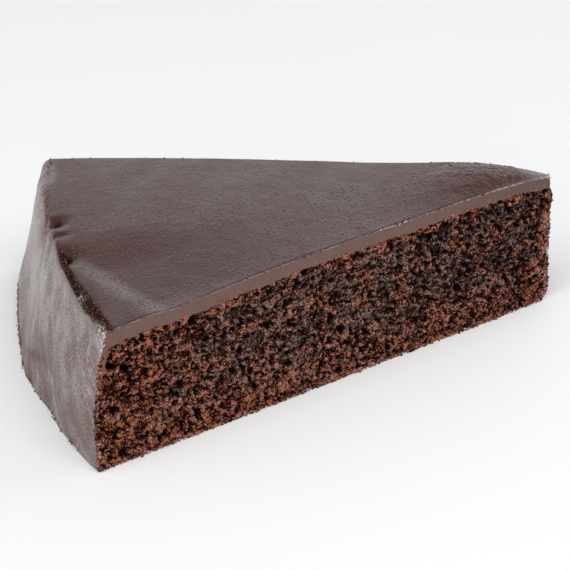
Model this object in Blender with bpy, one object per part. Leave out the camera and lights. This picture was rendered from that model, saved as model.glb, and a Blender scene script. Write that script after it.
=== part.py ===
# A slice of chocolate cake: one eighth of a round cake of a single dark sponge layer,
# under poured ganache that covers the top and runs down the outer wall as a thin skin.
#
# Metres, +Z up. The slice stands on z = 0 with the centre of its footprint at the origin.
# Its tip points to +X, its outer wall to -X, and its two knife cuts face -Y and +Y.
#
# Every surface is written in the cake's own polar terms: r is the distance from the line
# where the two cuts meet, phi the angle from the slice's middle line (positive towards +Y),
# and z the height.

import math

import bmesh
import bpy
from mathutils import Vector, noise

# The wedge.
HALF_ANGLE = math.radians(23.3)   # half of the slice's angle
TIP_WIDTH = 0.0010                # the knife leaves a blunt tip this wide
TIP_R = TIP_WIDTH / 2 / math.tan(HALF_ANGLE)

# The outer wall leans in from its foot to the rim. It is an even slope at the middle of the
# arc, and towards each cut it stands steeper and rounds over near the rim. "side" is -1 at
# the -Y cut and +1 at the +Y cut.
RIM_R_MIDDLE = 0.1162
RIM_R_AT_CUTS = 0.1215
FOOT_R = 0.1254
FOOT_SKEW = 0.0026                # the foot reaches further out towards +Y
FOOT_FLARE = 0.0030               # and at both cuts
LEAN_POWER = 1.0
LEAN_POWER_SKEW = 0.5
LEAN_POWER_AT_CUTS = 1.6
BELLY = 0.0004
BELLY_SKEW = -0.0026
BELLY_AT_CUTS = -0.0025
BELLY_POWER = 1.6
FOOT_WAVES = (                    # side, width and reach of the swells in the foot line
    (-0.04, 0.16, 0.0007),
    (-0.44, 0.14, -0.0005),
)
FOLD_SIDE = 0.74                  # an upright fold stands out of the wall near the +Y cut
FOLD_WIDTH = 0.15
FOLD_DEPTH = 0.0013
CUT_ZONE = 0.2                    # the edges are sharper in this share of the side at a cut
RIM_ROUND = 0.0012
RIM_ROUND_AT_CUTS = 0.0004

# The top is nearly level, falls away to the rim, and slumps at the tip.
CROWN_HEIGHT = 0.0329
RIM_FALL = 0.0023
RIM_FALL_POWER = 3.5
TIP_SLUMP = 0.0019
TIP_SLUMP_LENGTH = 0.010
SWELL = 0.00125                   # a low swell near the tip, along the +Y cut
SWELL_R = 0.0180
SWELL_LENGTH = 0.0150
SWELL_FROM = -0.4                 # the side where it starts to rise

# A crest runs slantwise from the rim to the -Y cut. The rim droops outside it, and fingers
# have left dents in the rim.
CREST = 0.0005
CREST_SIDE = -0.32
CREST_INSET = 0.0034              # its distance inside the rim at that side
CREST_SLANT = 0.0236              # it lies this much further inside for each unit of side
CREST_WIDTH = 0.0034
CREST_FROM = -0.12                # it starts to rise at this side
CREST_RISE = 0.3                  # and is whole this much further on
CREST_DROP = 0.8                  # the share of it that is lost at the cut
CREST_FADE = 0.0025               # and how far from the cut it is lost
SHOULDER = 0.00035
SHOULDER_LENGTH = 0.0017
DENT_INSET = 0.0008
DENT_REACH = 0.0028
DENTS = (                         # angle and angular width in degrees, depth in metres
    (7.9, 1.0, 0.0004),
    (4.2, 1.1, 0.0009),
    (0.0, 1.0, 0.0009),
    (-5.0, 1.7, 0.0012),
)

# At the -Y cut the corner of the rim turns up and the top is a little hollow inside it.
NEAR_ZONE = 0.25
CORNER_LIFT = 0.0005
CORNER_LIFT_LENGTH = 0.0025
HOLLOW = 0.00022
HOLLOW_INSET = 0.016
HOLLOW_WIDTH = 0.008

# The ganache and the sponge under it.
GANACHE_DEPTH = 0.00285
GANACHE_DEPTH_AT_TIP = 0.0023
GANACHE_DEPTH_GAIN = 0.00045      # it is deeper by this much at the rim
GANACHE_GAIN_POWER = 6
GANACHE_WAVE = 0.0002             # the sponge's top isn't quite level
WAVES_OUTWARDS = (230, 90)        # radians for each metre from the tip
WAVES_ACROSS = (5, 7)             # radians for each radian of the slice
SKIN = 0.0013                     # thickness on the outer wall
SKIN_AT_CUTS = 0.0007
SKIN_FILLET = 0.0032              # the ganache is thicker in the corner under the rim
SKIN_FILLET_AT_CUTS = 0.0006
GAP = 0.0003
TIP_FOOT_ROUND = 0.0017           # the sponge's lower corner is worn at the tip
CRUMB_DEPTH = 0.0006              # how far the torn crumb lies behind the plane of the cut
CRUMB_SIZE = 0.0045
TIP_SOUND = 0.004                 # this close to the tip the crumb isn't torn

# Faces along each direction.
TOP_STEPS = 20
RIM_STEPS = 5
FILLET_STEPS = 3
WALL_STEPS = 9
GANACHE_STEPS_ACROSS = 40
SPONGE_STEPS_ACROSS = 12
SPONGE_STEPS_UP = 11
RIM_ZONE = 0.009                  # the last stretch of the top, with closer faces

GANACHE_COLOUR = (0.061, 0.027, 0.025, 1.0)
SPONGE_COLOUR = (0.048, 0.017, 0.011, 1.0)


def bump(distance, width):
    """A smooth hump of height 1 at distance 0."""
    return math.exp(-(distance / width) ** 2)


def ease(x):
    """0 below 0, 1 above 1, and smooth between."""
    x = min(1.0, max(0.0, x))
    return x * x * (3 - 2 * x)


def mix(a, b, share):
    return a + (b - a) * share


def at_cuts(phi):
    """0 over most of the arc, rising to 1 at both cuts."""
    return ease(1 - (1 - abs(phi) / HALF_ANGLE) / CUT_ZONE)


def at_near_cut(side):
    """0 over most of the arc, rising to 1 at the -Y cut."""
    return ease(1 - (1 + side) / NEAR_ZONE)


def rim_radius(phi):
    return mix(RIM_R_MIDDLE, RIM_R_AT_CUTS, (phi / HALF_ANGLE) ** 2)


def wall_radius(phi, share):
    """Radius of the wall's outside at a share of the way from the foot (0) to the rim (1)."""
    side = phi / HALF_ANGLE
    foot = FOOT_R + FOOT_SKEW * side + FOOT_FLARE * side**2
    for middle, width, reach in FOOT_WAVES:
        foot += reach * bump(side - middle, width)
    power = max(1.0, LEAN_POWER + LEAN_POWER_SKEW * side + LEAN_POWER_AT_CUTS * side**2)
    belly = BELLY + BELLY_SKEW * side + BELLY_AT_CUTS * side**2
    fold = FOLD_DEPTH * bump(side - FOLD_SIDE, FOLD_WIDTH)
    swelling = math.sin(math.pi * share)
    lean = (foot - rim_radius(phi)) * share**power
    return foot - lean + fold * swelling + belly * swelling**BELLY_POWER


def crest_height(inset, side, from_cut):
    """Height of the crest at a distance inside the rim, less where it meets the cut."""
    crest_inset = CREST_INSET - CREST_SLANT * (side - CREST_SIDE)
    lost = CREST_DROP * math.exp(-from_cut / CREST_FADE)
    return CREST * bump(inset - crest_inset, CREST_WIDTH) * (1 - lost)


def top_height(r, phi):
    """Height of the ganache's upper face."""
    side = phi / HALF_ANGLE
    height = CROWN_HEIGHT - RIM_FALL * (r / RIM_R_AT_CUTS) ** RIM_FALL_POWER
    height -= TIP_SLUMP * math.exp(-r / TIP_SLUMP_LENGTH)
    swell_share = ease((side - SWELL_FROM) / (1 - SWELL_FROM))
    height += SWELL * bump(r - SWELL_R, SWELL_LENGTH) * swell_share
    inset = rim_radius(phi) - r
    outside = max(inset, 0.0)
    near = at_near_cut(side)
    crested = ease((CREST_FROM - side) / CREST_RISE)
    height += crested * crest_height(inset, side, r * (phi + HALF_ANGLE))
    height -= crested * (1 - near) * SHOULDER * math.exp(-outside / SHOULDER_LENGTH)
    height += near * CORNER_LIFT * math.exp(-outside / CORNER_LIFT_LENGTH)
    height -= near * HOLLOW * bump(inset - HOLLOW_INSET, HOLLOW_WIDTH)
    for angle, width, depth in DENTS:
        across = bump(phi - math.radians(angle), math.radians(width))
        height -= depth * across * bump(inset - DENT_INSET, DENT_REACH)
    return height


def ganache_depth(r, phi):
    """Thickness of the ganache on top of the sponge."""
    depth = mix(GANACHE_DEPTH, GANACHE_DEPTH_AT_TIP, math.exp(-r / TIP_SLUMP_LENGTH))
    depth += GANACHE_DEPTH_GAIN * (r / RIM_R_AT_CUTS) ** GANACHE_GAIN_POWER
    first = math.sin(WAVES_OUTWARDS[0] * r + WAVES_ACROSS[0] * phi)
    second = math.cos(WAVES_OUTWARDS[1] * r - WAVES_ACROSS[1] * phi)
    return depth + GANACHE_WAVE * first * second


def skin(phi):
    """Thickness of the ganache on the outer wall."""
    return mix(SKIN, SKIN_AT_CUTS, at_cuts(phi))


def skin_fillet(phi):
    return mix(SKIN_FILLET, SKIN_FILLET_AT_CUTS, at_cuts(phi))


def coat_line(phi, depth, inset, fillet):
    """A line from the tip over the top and down the wall at one angle, as (r, z) points.

    Its top lies depth(r, phi) under the ganache's face and its wall lies inset inside the
    ganache's, with a fillet between them. The points come as three lists: along the top,
    round the fillet, and down the wall to the floor.
    """
    corner_share = 1 - fillet / top_height(rim_radius(phi), phi)
    corner_r = wall_radius(phi, corner_share) - inset
    start_r = TIP_R / math.cos(phi)
    flat_end = corner_r - fillet
    rim_start = flat_end - RIM_ZONE
    radii = [mix(start_r, rim_start, i / TOP_STEPS) for i in range(TOP_STEPS)]
    radii += [mix(rim_start, flat_end, i / RIM_STEPS) for i in range(RIM_STEPS + 1)]
    top = [(r, top_height(r, phi) - depth(r, phi)) for r in radii]
    corner_z = top[-1][1] - fillet
    turn = []
    for i in range(1, FILLET_STEPS + 1):
        angle = math.pi / 2 * i / FILLET_STEPS
        turn.append((flat_end + fillet * math.sin(angle), corner_z + fillet * math.cos(angle)))
    wall = []
    for i in range(1, WALL_STEPS + 1):
        share = 1 - i / WALL_STEPS
        wall.append((wall_radius(phi, corner_share * share) - inset, corner_z * share))
    return top, turn, wall


def ganache_face(phi):
    rim_round = mix(RIM_ROUND, RIM_ROUND_AT_CUTS, at_cuts(phi))
    return coat_line(phi, lambda r, phi: 0.0, 0.0, rim_round)


def ganache_back(phi):
    return coat_line(phi, ganache_depth, skin(phi), skin_fillet(phi))


def sponge_face(phi):
    return coat_line(phi, lambda r, phi: ganache_depth(r, phi) + GAP, skin(phi) + GAP,
                     skin_fillet(phi))


def place(r, phi, z):
    """A point in the cake's polar terms as x, y, z."""
    return Vector((-r * math.cos(phi), r * math.sin(phi), z))


def angles(steps):
    return [mix(-HALF_ANGLE, HALF_ANGLE, i / steps) for i in range(steps + 1)]


def block_object(name, grid, colour, roughness):
    """A closed solid from grid[i][j][k], the points of a block bent to shape."""
    count = (len(grid), len(grid[0]), len(grid[0][0]))
    mesh = bpy.data.meshes.new(name)
    bm = bmesh.new()
    made = {}

    def vertex(i, j, k):
        if (i, j, k) not in made:
            made[i, j, k] = bm.verts.new(grid[i][j][k])
        return made[i, j, k]

    for axis in range(3):
        a, b = [n for n in range(3) if n != axis]
        for end in (0, count[axis] - 1):
            for p in range(count[a] - 1):
                for q in range(count[b] - 1):
                    corners = []
                    for dp, dq in ((0, 0), (1, 0), (1, 1), (0, 1)):
                        index = [0, 0, 0]
                        index[axis], index[a], index[b] = end, p + dp, q + dq
                        corners.append(vertex(*index))
                    bm.faces.new(corners)
    bmesh.ops.recalc_face_normals(bm, faces=bm.faces)
    bmesh.ops.triangulate(bm, faces=bm.faces, quad_method="SHORT_EDGE")
    bm.to_mesh(mesh)
    bm.free()
    mesh.shade_smooth()
    mesh.set_sharp_from_angle(angle=math.radians(40))

    material = bpy.data.materials.new(name)
    material.use_nodes = True
    shader = material.node_tree.nodes["Principled BSDF"]
    shader.inputs["Base Color"].default_value = colour
    shader.inputs["Roughness"].default_value = roughness
    mesh.materials.append(material)

    piece = bpy.data.objects.new(name, mesh)
    bpy.context.scene.collection.objects.link(piece)
    return piece


def ganache():
    """The top slab and the skin on the wall, in one bent sheet from tip to floor."""
    grid = []
    for phi in angles(GANACHE_STEPS_ACROSS):
        lines = [sum(side(phi), []) for side in (ganache_back, ganache_face)]
        grid.append([[place(r, phi, z) for r, z in line] for line in lines])
    return block_object("ganache", grid, GANACHE_COLOUR, 0.35)


def crumb_hollow(r, z):
    """How deep the torn sponge lies behind the cut, at a point of the cut."""
    spot = Vector((r, z, 0)) / CRUMB_SIZE
    torn = 0.5 + 0.5 * noise.noise(spot) + 0.4 * noise.noise(spot * 2.1)
    return CRUMB_DEPTH * ease(torn)


def point_along(points, share):
    """The point a share of the way along a list of points, counted by its steps."""
    place_in_list = share * (len(points) - 1)
    low = min(int(place_in_list), len(points) - 2)
    return [mix(a, b, place_in_list - low) for a, b in zip(points[low], points[low + 1])]


def sponge_section(phi):
    """The sponge's section at one angle, as rows of (r, z) from the floor up.

    It is a patch spanned by four edges: the foot, the top, the tip and the wall.
    """
    top, turn, wall = sponge_face(phi)
    upper = top + turn
    wall_edge = ([turn[-1]] + wall)[::-1]
    start_r = upper[0][0]
    shares = [(r - start_r) / (upper[-1][0] - start_r) for r, z in upper]
    foot = []
    for share in shares:
        r = mix(start_r, wall_edge[0][0], share)
        worn = max(0.0, TIP_FOOT_ROUND - (r - start_r))
        foot.append((r, TIP_FOOT_ROUND - math.sqrt(TIP_FOOT_ROUND**2 - worn**2)))
    rows = []
    for k in range(SPONGE_STEPS_UP + 1):
        up = k / SPONGE_STEPS_UP
        wall_point = point_along(wall_edge, up)
        tip_point = [mix(a, b, up) for a, b in zip(foot[0], upper[0])]
        end_point = [mix(a, b, up) for a, b in zip(foot[-1], upper[-1])]
        row = []
        for share, low, high in zip(shares, foot, upper):
            point = []
            for n in range(2):
                between_ends = mix(tip_point[n], end_point[n], share)
                across = mix(tip_point[n], wall_point[n], share)
                point.append(mix(low[n], high[n], up) + across - between_ends)
            row.append(point)
        rows.append(row)
    return rows


def sponge():
    """The crumb, from cut to cut, with both cuts torn a little."""
    grid = []
    every_angle = angles(SPONGE_STEPS_ACROSS)
    for phi in every_angle:
        inward = {every_angle[0]: 1, every_angle[-1]: -1}.get(phi, 0)
        across = Vector((math.sin(phi), math.cos(phi), 0)) * inward
        slab = []
        for row in sponge_section(phi):
            line = []
            for r, z in row:
                torn = crumb_hollow(r, z) * ease((r - TIP_R) / TIP_SOUND)
                line.append(place(r, phi, z) + across * torn)
            slab.append(line)
        grid.append(slab)
    return block_object("sponge", grid, SPONGE_COLOUR, 0.9)


def centre_over_origin(pieces):
    """Moves the slice sideways until the middle of its footprint is at the origin."""
    points = [v.co for piece in pieces for v in piece.data.vertices]
    middle = Vector((0, 0, 0))
    for axis in range(2):
        along = [p[axis] for p in points]
        middle[axis] = (min(along) + max(along)) / 2
    for piece in pieces:
        for v in piece.data.vertices:
            v.co -= middle
    print(f"the cuts meet at x {-middle.x * 1000:.3f}, y {-middle.y * 1000:.3f} mm")


def main():
    for old in list(bpy.data.objects):
        bpy.data.objects.remove(old, do_unlink=True)
    centre_over_origin([ganache(), sponge()])


main()
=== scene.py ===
import math

import bmesh
import bpy
import numpy as np
from mathutils import Matrix, Vector
from mathutils.geometry import delaunay_2d_cdt
from mathutils.kdtree import KDTree


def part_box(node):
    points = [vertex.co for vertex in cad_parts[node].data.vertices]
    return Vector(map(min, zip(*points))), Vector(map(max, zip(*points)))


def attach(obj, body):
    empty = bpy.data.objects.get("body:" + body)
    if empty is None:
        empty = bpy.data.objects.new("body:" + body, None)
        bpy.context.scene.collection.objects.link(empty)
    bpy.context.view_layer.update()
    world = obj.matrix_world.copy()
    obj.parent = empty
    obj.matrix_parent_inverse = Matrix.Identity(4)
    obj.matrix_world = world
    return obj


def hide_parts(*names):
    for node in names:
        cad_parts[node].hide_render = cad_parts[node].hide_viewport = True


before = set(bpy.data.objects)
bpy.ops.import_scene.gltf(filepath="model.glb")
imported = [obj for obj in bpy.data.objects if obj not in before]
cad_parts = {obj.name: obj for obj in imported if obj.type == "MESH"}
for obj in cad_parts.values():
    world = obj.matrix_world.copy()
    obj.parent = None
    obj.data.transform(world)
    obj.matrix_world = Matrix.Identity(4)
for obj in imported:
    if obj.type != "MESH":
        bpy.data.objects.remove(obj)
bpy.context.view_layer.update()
print("frame loaded")

mm = 0.001
weldReach = 0.002 * mm   # points of two patches nearer than this are one point

# The slice in its own polar terms: r is counted from the line where the two cuts meet, phi
# from the middle line (minus towards the near cut) and z is the height. Metres and radians.
wedge = {
    "halfAngle": math.radians(23.3),
    "tipWidth": 1.0 * mm,
    "rimMiddle": 116.2 * mm,
    "rimAtCuts": 121.5 * mm,
    "foot": 125.4 * mm,
    "footSkew": 2.6 * mm,
    "footFlare": 3.0 * mm,
    "footWaves": ((-0.04, 0.16, 0.7 * mm), (-0.44, 0.14, -0.5 * mm)),    # side, width, reach
    "lean": (1.0, 0.5, 1.6),                # power of the lean: middle, skew, at the cuts
    "belly": (0.4 * mm, -2.6 * mm, -2.5 * mm),
    "fold": (0.74, 0.15, 1.3 * mm),         # an upright fold in the wall: side, width, depth
    "crown": 32.9 * mm,
    "rimFall": 2.3 * mm,
    "rimFallPower": 3.5,
    "cornerLift": (0.25 * mm, 2.5 * mm),     # the near corner turns up: height, length
    "tipSlump": 1.9 * mm,
    "tipSlumpLength": 10 * mm,
    "swell": 1.25 * mm,
    "swellR": 18 * mm,
    "swellLength": 15 * mm,
    "brow": (0.60 * mm, 13.5 * mm, 10 * mm),    # a lower swell on it, nearer the tip
    "sag": (0.30 * mm, -0.9, 0.42, 50 * mm, 30 * mm),   # depth, side and width, r and width
    "trough": 1.22 * mm,                    # a hollow that slants from the rim to the near cut
    "troughStart": (-0.21, 6.0 * mm),       # its side and its distance inside the rim there
    "troughSlant": 14.0 * mm,
    "troughWidths": (4.3 * mm, 21.0 * mm),   # steep towards the rim, gentle towards the tip
    "troughFade": (0.50, 3.2 * mm),         # it is shallow this close to the cut
    "shoulder": (0.75 * mm, 2.8 * mm),      # the rim droops outside it: drop, length
    "dentInset": 0.8 * mm,
    "dentReach": 2.8 * mm,
    "dents": (                              # angle and width in degrees, depth
        (7.9, 1.0, 0.12 * mm),
        (4.4, 1.4, 1.1 * mm),
        (0.7, 0.7, 0.4 * mm),
        (-4.8, 1.8, 1.3 * mm),
    ),
    "ganacheDepth": 2.85 * mm,
    "ganacheDepthAtTip": 2.3 * mm,
    "ganacheDepthGain": 0.45 * mm,          # more at the rim
    "ganacheWave": 0.2 * mm,
    "rimRound": (1.2 * mm, 0.4 * mm),       # at the middle and at the cuts
    "farRound": (3.0 * mm, 0.35, 0.45),     # more at the far end: amount, from side, over
    "farBulge": (0.6 * mm, 0.88, 0.17),     # and it swells out below that: reach, share, width
    "corner": (3.2 * mm, 0.5 * mm),         # the fillet behind the rim, likewise
    "skin": 1.3 * mm,
    "skinAtCuts": (0.25 * mm, 0.55 * mm),   # in its lower and its upper part
    "wallLength": 29.5 * mm,                # along the wall, from the rim to the floor
    "tipFootRound": 1.7 * mm,
}
half = wedge["halfAngle"]
tipR = wedge["tipWidth"] / 2 / math.tan(half)


def bump(distance, width):
    return np.exp(-(distance / width) ** 2)


def ease(x):
    x = np.clip(x, 0.0, 1.0)
    return x * x * (3 - 2 * x)


def mix(a, b, share):
    return a + (b - a) * share


def rimRadius(phi):
    return mix(wedge["rimMiddle"], wedge["rimAtCuts"], (phi / half) ** 2)


def farEnd(phi):
    amount, start, length = wedge["farRound"]
    return ease((phi / half - start) / length)


def wallRadius(phi, share):
    # share is 0 at the foot and 1 at the rim
    side = phi / half
    middle, skew, flare = wedge["lean"]
    power = np.maximum(1.0, middle + skew * side + flare * side**2)
    middle, skew, flare = wedge["belly"]
    belly = middle + skew * side + flare * side**2
    foot = wedge["foot"] + wedge["footSkew"] * side + wedge["footFlare"] * side**2
    for middle, width, reach in wedge["footWaves"]:
        foot = foot + reach * bump(side - middle, width)
    foldSide, foldWidth, foldDepth = wedge["fold"]
    fold = foldDepth * bump(side - foldSide, foldWidth) * np.sin(np.pi * np.clip(share, 0, 1))
    lean = (foot - rimRadius(phi)) * share**power
    bulge, bulgeShare, bulgeWidth = wedge["farBulge"]
    fold = fold + bulge * farEnd(phi) * bump(share - bulgeShare, bulgeWidth)
    return foot - lean + fold + belly * np.sin(np.pi * np.clip(share, 0, 1)) ** 1.6


def atCuts(phi):
    return ease((np.abs(phi / half) - 0.8) / 0.2)


def topHeight(r, phi):
    side = phi / half
    height = wedge["crown"] - wedge["rimFall"] * (r / wedge["rimAtCuts"]) ** wedge["rimFallPower"]
    height = height - wedge["tipSlump"] * np.exp(-r / wedge["tipSlumpLength"])
    swell = bump(r - wedge["swellR"], wedge["swellLength"])
    swell = swell * (1 - (1 - np.clip((side + 1.0) / 1.3, 0, 1)) ** 2)
    inset = rimRadius(phi) - r
    troughSide, troughInset = wedge["troughStart"]
    across = inset - troughInset + wedge["troughSlant"] * (side - troughSide)
    trough = bump(across, np.where(across > 0, *wedge["troughWidths"][::-1]))
    fade, fadeLength = wedge["troughFade"]
    trough = trough * ease((0.02 - side) / 0.46)
    trough = trough * (1 - fade * np.exp(-r * np.abs(phi + half) / fadeLength))
    height = height + wedge["swell"] * swell - wedge["trough"] * trough
    rise, browR, browLength = wedge["brow"]
    rise = rise * ease((side + 1.0) / 0.6) * (1 - 0.7 * ease((side - 0.6) / 0.3))
    height = height + rise * bump(r - browR, browLength)
    depth, sagSide, sagWidth, sagR, sagLength = wedge["sag"]
    height = height - depth * bump(side - sagSide, sagWidth) * bump(r - sagR, sagLength)
    atNearCut = ease((-side - 0.75) / 0.25)
    lift, liftLength = wedge["cornerLift"]
    droop, droopLength = wedge["shoulder"]
    height = height + atNearCut * lift * np.exp(-np.maximum(inset, 0) / liftLength)
    drooping = ease((-side - 0.12) / 0.3) * (1 - atNearCut)
    drooping = drooping + 0.35 * ease((side - 0.2) / 0.2) * ease((0.9 - side) / 0.2)
    height = height - drooping * droop * np.exp(-np.maximum(inset, 0) / droopLength)
    for angle, width, depth in wedge["dents"]:
        across = bump(phi - math.radians(angle), math.radians(width))
        height = height - depth * across * bump(inset - wedge["dentInset"], wedge["dentReach"])
    return height


def ganacheDepth(r, phi):
    nearTip = np.exp(-r / wedge["tipSlumpLength"])
    depth = mix(wedge["ganacheDepth"], wedge["ganacheDepthAtTip"], nearTip)
    depth = depth + wedge["ganacheDepthGain"] * (r / wedge["rimAtCuts"]) ** 6
    return depth + wedge["ganacheWave"] * np.sin(r * 230 + phi * 5) * np.cos(r * 90 - phi * 7)


def skinInset(phi, share):
    thin = mix(*wedge["skinAtCuts"], ease((share - 0.74) / 0.07))
    return mix(wedge["skin"], thin, atCuts(phi))


def raggedDepth(r, phi):
    # the lower edge of the ganache follows the crumb it has run into
    fine = 0.17 * np.sin(r * 1150 + 3 * np.sin(r * 333)) + 0.11 * np.sin(r * 2710 + phi * 9)
    return ganacheDepth(r, phi) + fine * mm


def soakedDepth(r, phi):
    # the sponge reaches a little into the ganache, so that no gap shows at the cut
    return ganacheDepth(r, phi) - 0.6 * mm


# Three sheets bend over the slice, each from the tip over the top and down the wall.
pouredFace = {"depth": lambda r, phi: 0.0, "inset": lambda phi, share: 0.0,
              "fillet": lambda phi: mix(*wedge["rimRound"], atCuts(phi))
              + wedge["farRound"][0] * farEnd(phi)}
pouredBack = {"depth": raggedDepth, "inset": skinInset,
              "fillet": lambda phi: mix(*wedge["corner"], atCuts(phi))}
spongeFace = {"depth": soakedDepth, "inset": lambda phi, share: skinInset(phi, share) * 0.6,
              "fillet": pouredBack["fillet"]}

# The line where the cuts meet stands where the CAD's own box puts it.
ganacheLow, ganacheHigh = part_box("ganache")
widest = wallRadius(-half, np.linspace(0, 1, 400)).max()
apexX = ganacheHigh.x + tipR
apexY = ganacheLow.y + widest * math.sin(half)


def place(r, phi, z):
    r, phi, z = np.broadcast_arrays(r, phi, z)
    return np.stack([apexX - r * np.cos(phi), apexY + r * np.sin(phi), z], axis=-1)


def flatEnd(phi, sheet):
    fillet = sheet["fillet"](phi)
    share = 1 - fillet / topHeight(rimRadius(phi), phi)
    return wallRadius(phi, share) - sheet["inset"](phi, share) - fillet


def sheetEnd(phi, sheet):
    return flatEnd(phi, sheet) + sheet["fillet"](phi) * math.pi / 2 + wedge["wallLength"]


def sheetPoint(reach, phi, sheet):
    # reach is the way from the tip over the top, round the rim and down the wall
    fillet = sheet["fillet"](phi)
    cornerShare = 1 - fillet / topHeight(rimRadius(phi), phi)
    end = flatEnd(phi, sheet)
    cornerZ = topHeight(end, phi) - sheet["depth"](end, phi) - fillet
    onTop = np.minimum(reach, end)
    turned = np.clip((reach - end) / fillet, 0, math.pi / 2)
    r = onTop + fillet * np.sin(turned)
    z = topHeight(onTop, phi) - sheet["depth"](onTop, phi) - fillet * (1 - np.cos(turned))
    down = np.clip((reach - end - fillet * math.pi / 2) / wedge["wallLength"], 0, 1)
    share = cornerShare * (1 - down)
    wallR = wallRadius(phi, share) - sheet["inset"](phi, share)
    r = np.where(down > 0, wallR, r)
    z = np.where(down > 0, cornerZ * (1 - down), z)
    return place(r, phi, z)


def steps(start, end, spacing):
    return np.linspace(start, end, max(1, math.ceil(abs(end - start) / spacing)) + 1)


def footLift(phi):
    # the skin's lower edge isn't level: it stops a little short of the floor in places
    wave = np.sin(phi * 61 + 1.0) + 0.7 * np.sin(phi * 143 + 2.2) + 0.5 * np.sin(phi * 307)
    return np.clip(wave, 0, 2) * 0.35 * mm


tipSteps = 4


def sheetEdges(sheet, spacing, acrossSteps, lifted=False):
    # the four sides of a sheet as (reach, phi) lists, in order round it
    phis = np.linspace(-half, half, acrossSteps + 1)
    tipPhis = np.arctan(np.linspace(-math.tan(half), math.tan(half), tipSteps + 1))
    sides = []
    for phi in (-half, half):
        lift = footLift(phi) if lifted else 0.0
        reach = steps(tipR / math.cos(phi), sheetEnd(phi, sheet) - lift, spacing)
        sides.append(np.stack([reach, np.full(len(reach), phi)], 1))
    lift = footLift(phis) if lifted else 0.0
    foot = np.stack([sheetEnd(phis, sheet) - lift, phis], 1)
    tip = np.stack([tipR / np.cos(tipPhis), tipPhis], 1)
    return {"near": sides[0], "far": sides[1], "foot": foot, "tip": tip}


def closedLoop(*lines):
    # lines end to end, each without its last point, which is the next one's first
    return np.concatenate([line[:-1] for line in lines])


def insideLoop(points, loop):
    inside = np.zeros(len(points), bool)
    for (ax, ay), (bx, by) in zip(loop, np.roll(loop, -1, axis=0)):
        if ay == by:
            continue
        crosses = (ay > points[:, 1]) != (by > points[:, 1])
        inside ^= crosses & (points[:, 0] < (bx - ax) * (points[:, 1] - ay) / (by - ay) + ax)
    return inside


def scatterInside(loop, spacing, seed, wanted=None):
    # a loose honeycomb of points that keeps clear of the loop's own points
    low, high = loop.min(0), loop.max(0)
    x, y = np.meshgrid(np.arange(low[0], high[0], spacing),
                       np.arange(low[1], high[1], spacing * 0.866))
    x[1::2] += spacing / 2
    points = np.stack([x.ravel(), y.ravel()], 1)
    points += np.random.default_rng(seed).uniform(-0.22, 0.22, points.shape) * spacing
    if wanted:
        points = points[wanted(np.hypot(points[:, 0], points[:, 1]),
                               np.arctan2(points[:, 1], points[:, 0]))]
    points = points[insideLoop(points, loop)]
    tree = KDTree(len(loop))
    for i, (px, py) in enumerate(loop):
        tree.insert((px, py, 0), i)
    tree.balance()
    clear = [tree.find((px, py, 0))[2] > spacing * 0.6 for px, py in points]
    return points[np.array(clear, bool)]


def fillLoop(loop, inner, toSpace):
    # triangles between the loop and the points in it, worked out in millimetres
    points = np.concatenate([loop, inner]) / mm
    ring = list(range(len(loop)))
    made = delaunay_2d_cdt([Vector(p) for p in points], [], [ring], 1, 1e-6)
    flat = np.array([tuple(v) for v in made[0]]) * mm
    return toSpace(flat), np.array(made[2])


def bridgeLines(lineA, lineB, rows):
    # a strip of rows between two lines of as many points
    shares = np.linspace(0, 1, rows + 1)[:, None, None]
    grid = mix(lineA[None], lineB[None], shares)
    count = len(lineA)
    row, column = np.meshgrid(np.arange(rows), np.arange(count - 1), indexing="ij")
    corner = (row * count + column).ravel()
    lower = np.stack([corner, corner + 1, corner + count + 1], 1)
    upper = np.stack([corner, corner + count + 1, corner + count], 1)
    return grid.reshape(-1, 3), np.concatenate([lower, upper])


def fanFill(sheet, loop, inner):
    # fills a loop of (reach, phi) points on a bent sheet
    def toFan(points):
        return np.stack([points[:, 0] * np.cos(points[:, 1]),
                         points[:, 0] * np.sin(points[:, 1])], 1)

    def toSpace(flat):
        return sheetPoint(np.hypot(flat[:, 0], flat[:, 1]),
                          np.arctan2(flat[:, 1], flat[:, 0]), sheet)

    fan = toFan(loop)
    return fillLoop(fan, inner(fan), toSpace)


def cutFill(phi, loopInSpace, inner):
    # fills a loop of points that lie in one of the two cuts
    loop = np.stack([np.hypot(loopInSpace[:, 0] - apexX, loopInSpace[:, 1] - apexY),
                     loopInSpace[:, 2]], 1)
    return fillLoop(loop, inner(loop), lambda flat: place(flat[:, 0], phi, flat[:, 1]))


def weldPatches(name, patches):
    # patches are (points, triangles), and each face remembers its patch by number
    points, faces, kinds = [], [], []
    count = 0
    for kind, (patchPoints, triangles) in enumerate(patches):
        points.append(patchPoints)
        faces.append(triangles + count)
        kinds += [kind] * len(triangles)
        count += len(patchPoints)
    mesh = bpy.data.meshes.new(name)
    mesh.from_pydata(np.concatenate(points).tolist(), [], np.concatenate(faces).tolist())
    patch = mesh.attributes.new("patch", "INT", "FACE")
    patch.data.foreach_set("value", kinds)
    work = bmesh.new()
    work.from_mesh(mesh)
    bmesh.ops.remove_doubles(work, verts=work.verts, dist=weldReach)
    bmesh.ops.dissolve_degenerate(work, edges=work.edges, dist=weldReach)
    bmesh.ops.triangulate(work, faces=[face for face in work.faces if len(face.verts) > 3])
    bmesh.ops.recalc_face_normals(work, faces=work.faces)
    openEdges = sum(1 for edge in work.edges if not edge.is_manifold)
    work.to_mesh(mesh)
    work.free()
    piece = bpy.data.objects.new(name, mesh)
    bpy.context.scene.collection.objects.link(piece)
    print(f"{name}: {len(mesh.polygons)} triangles, {openEdges} open edges")
    return piece


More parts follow.
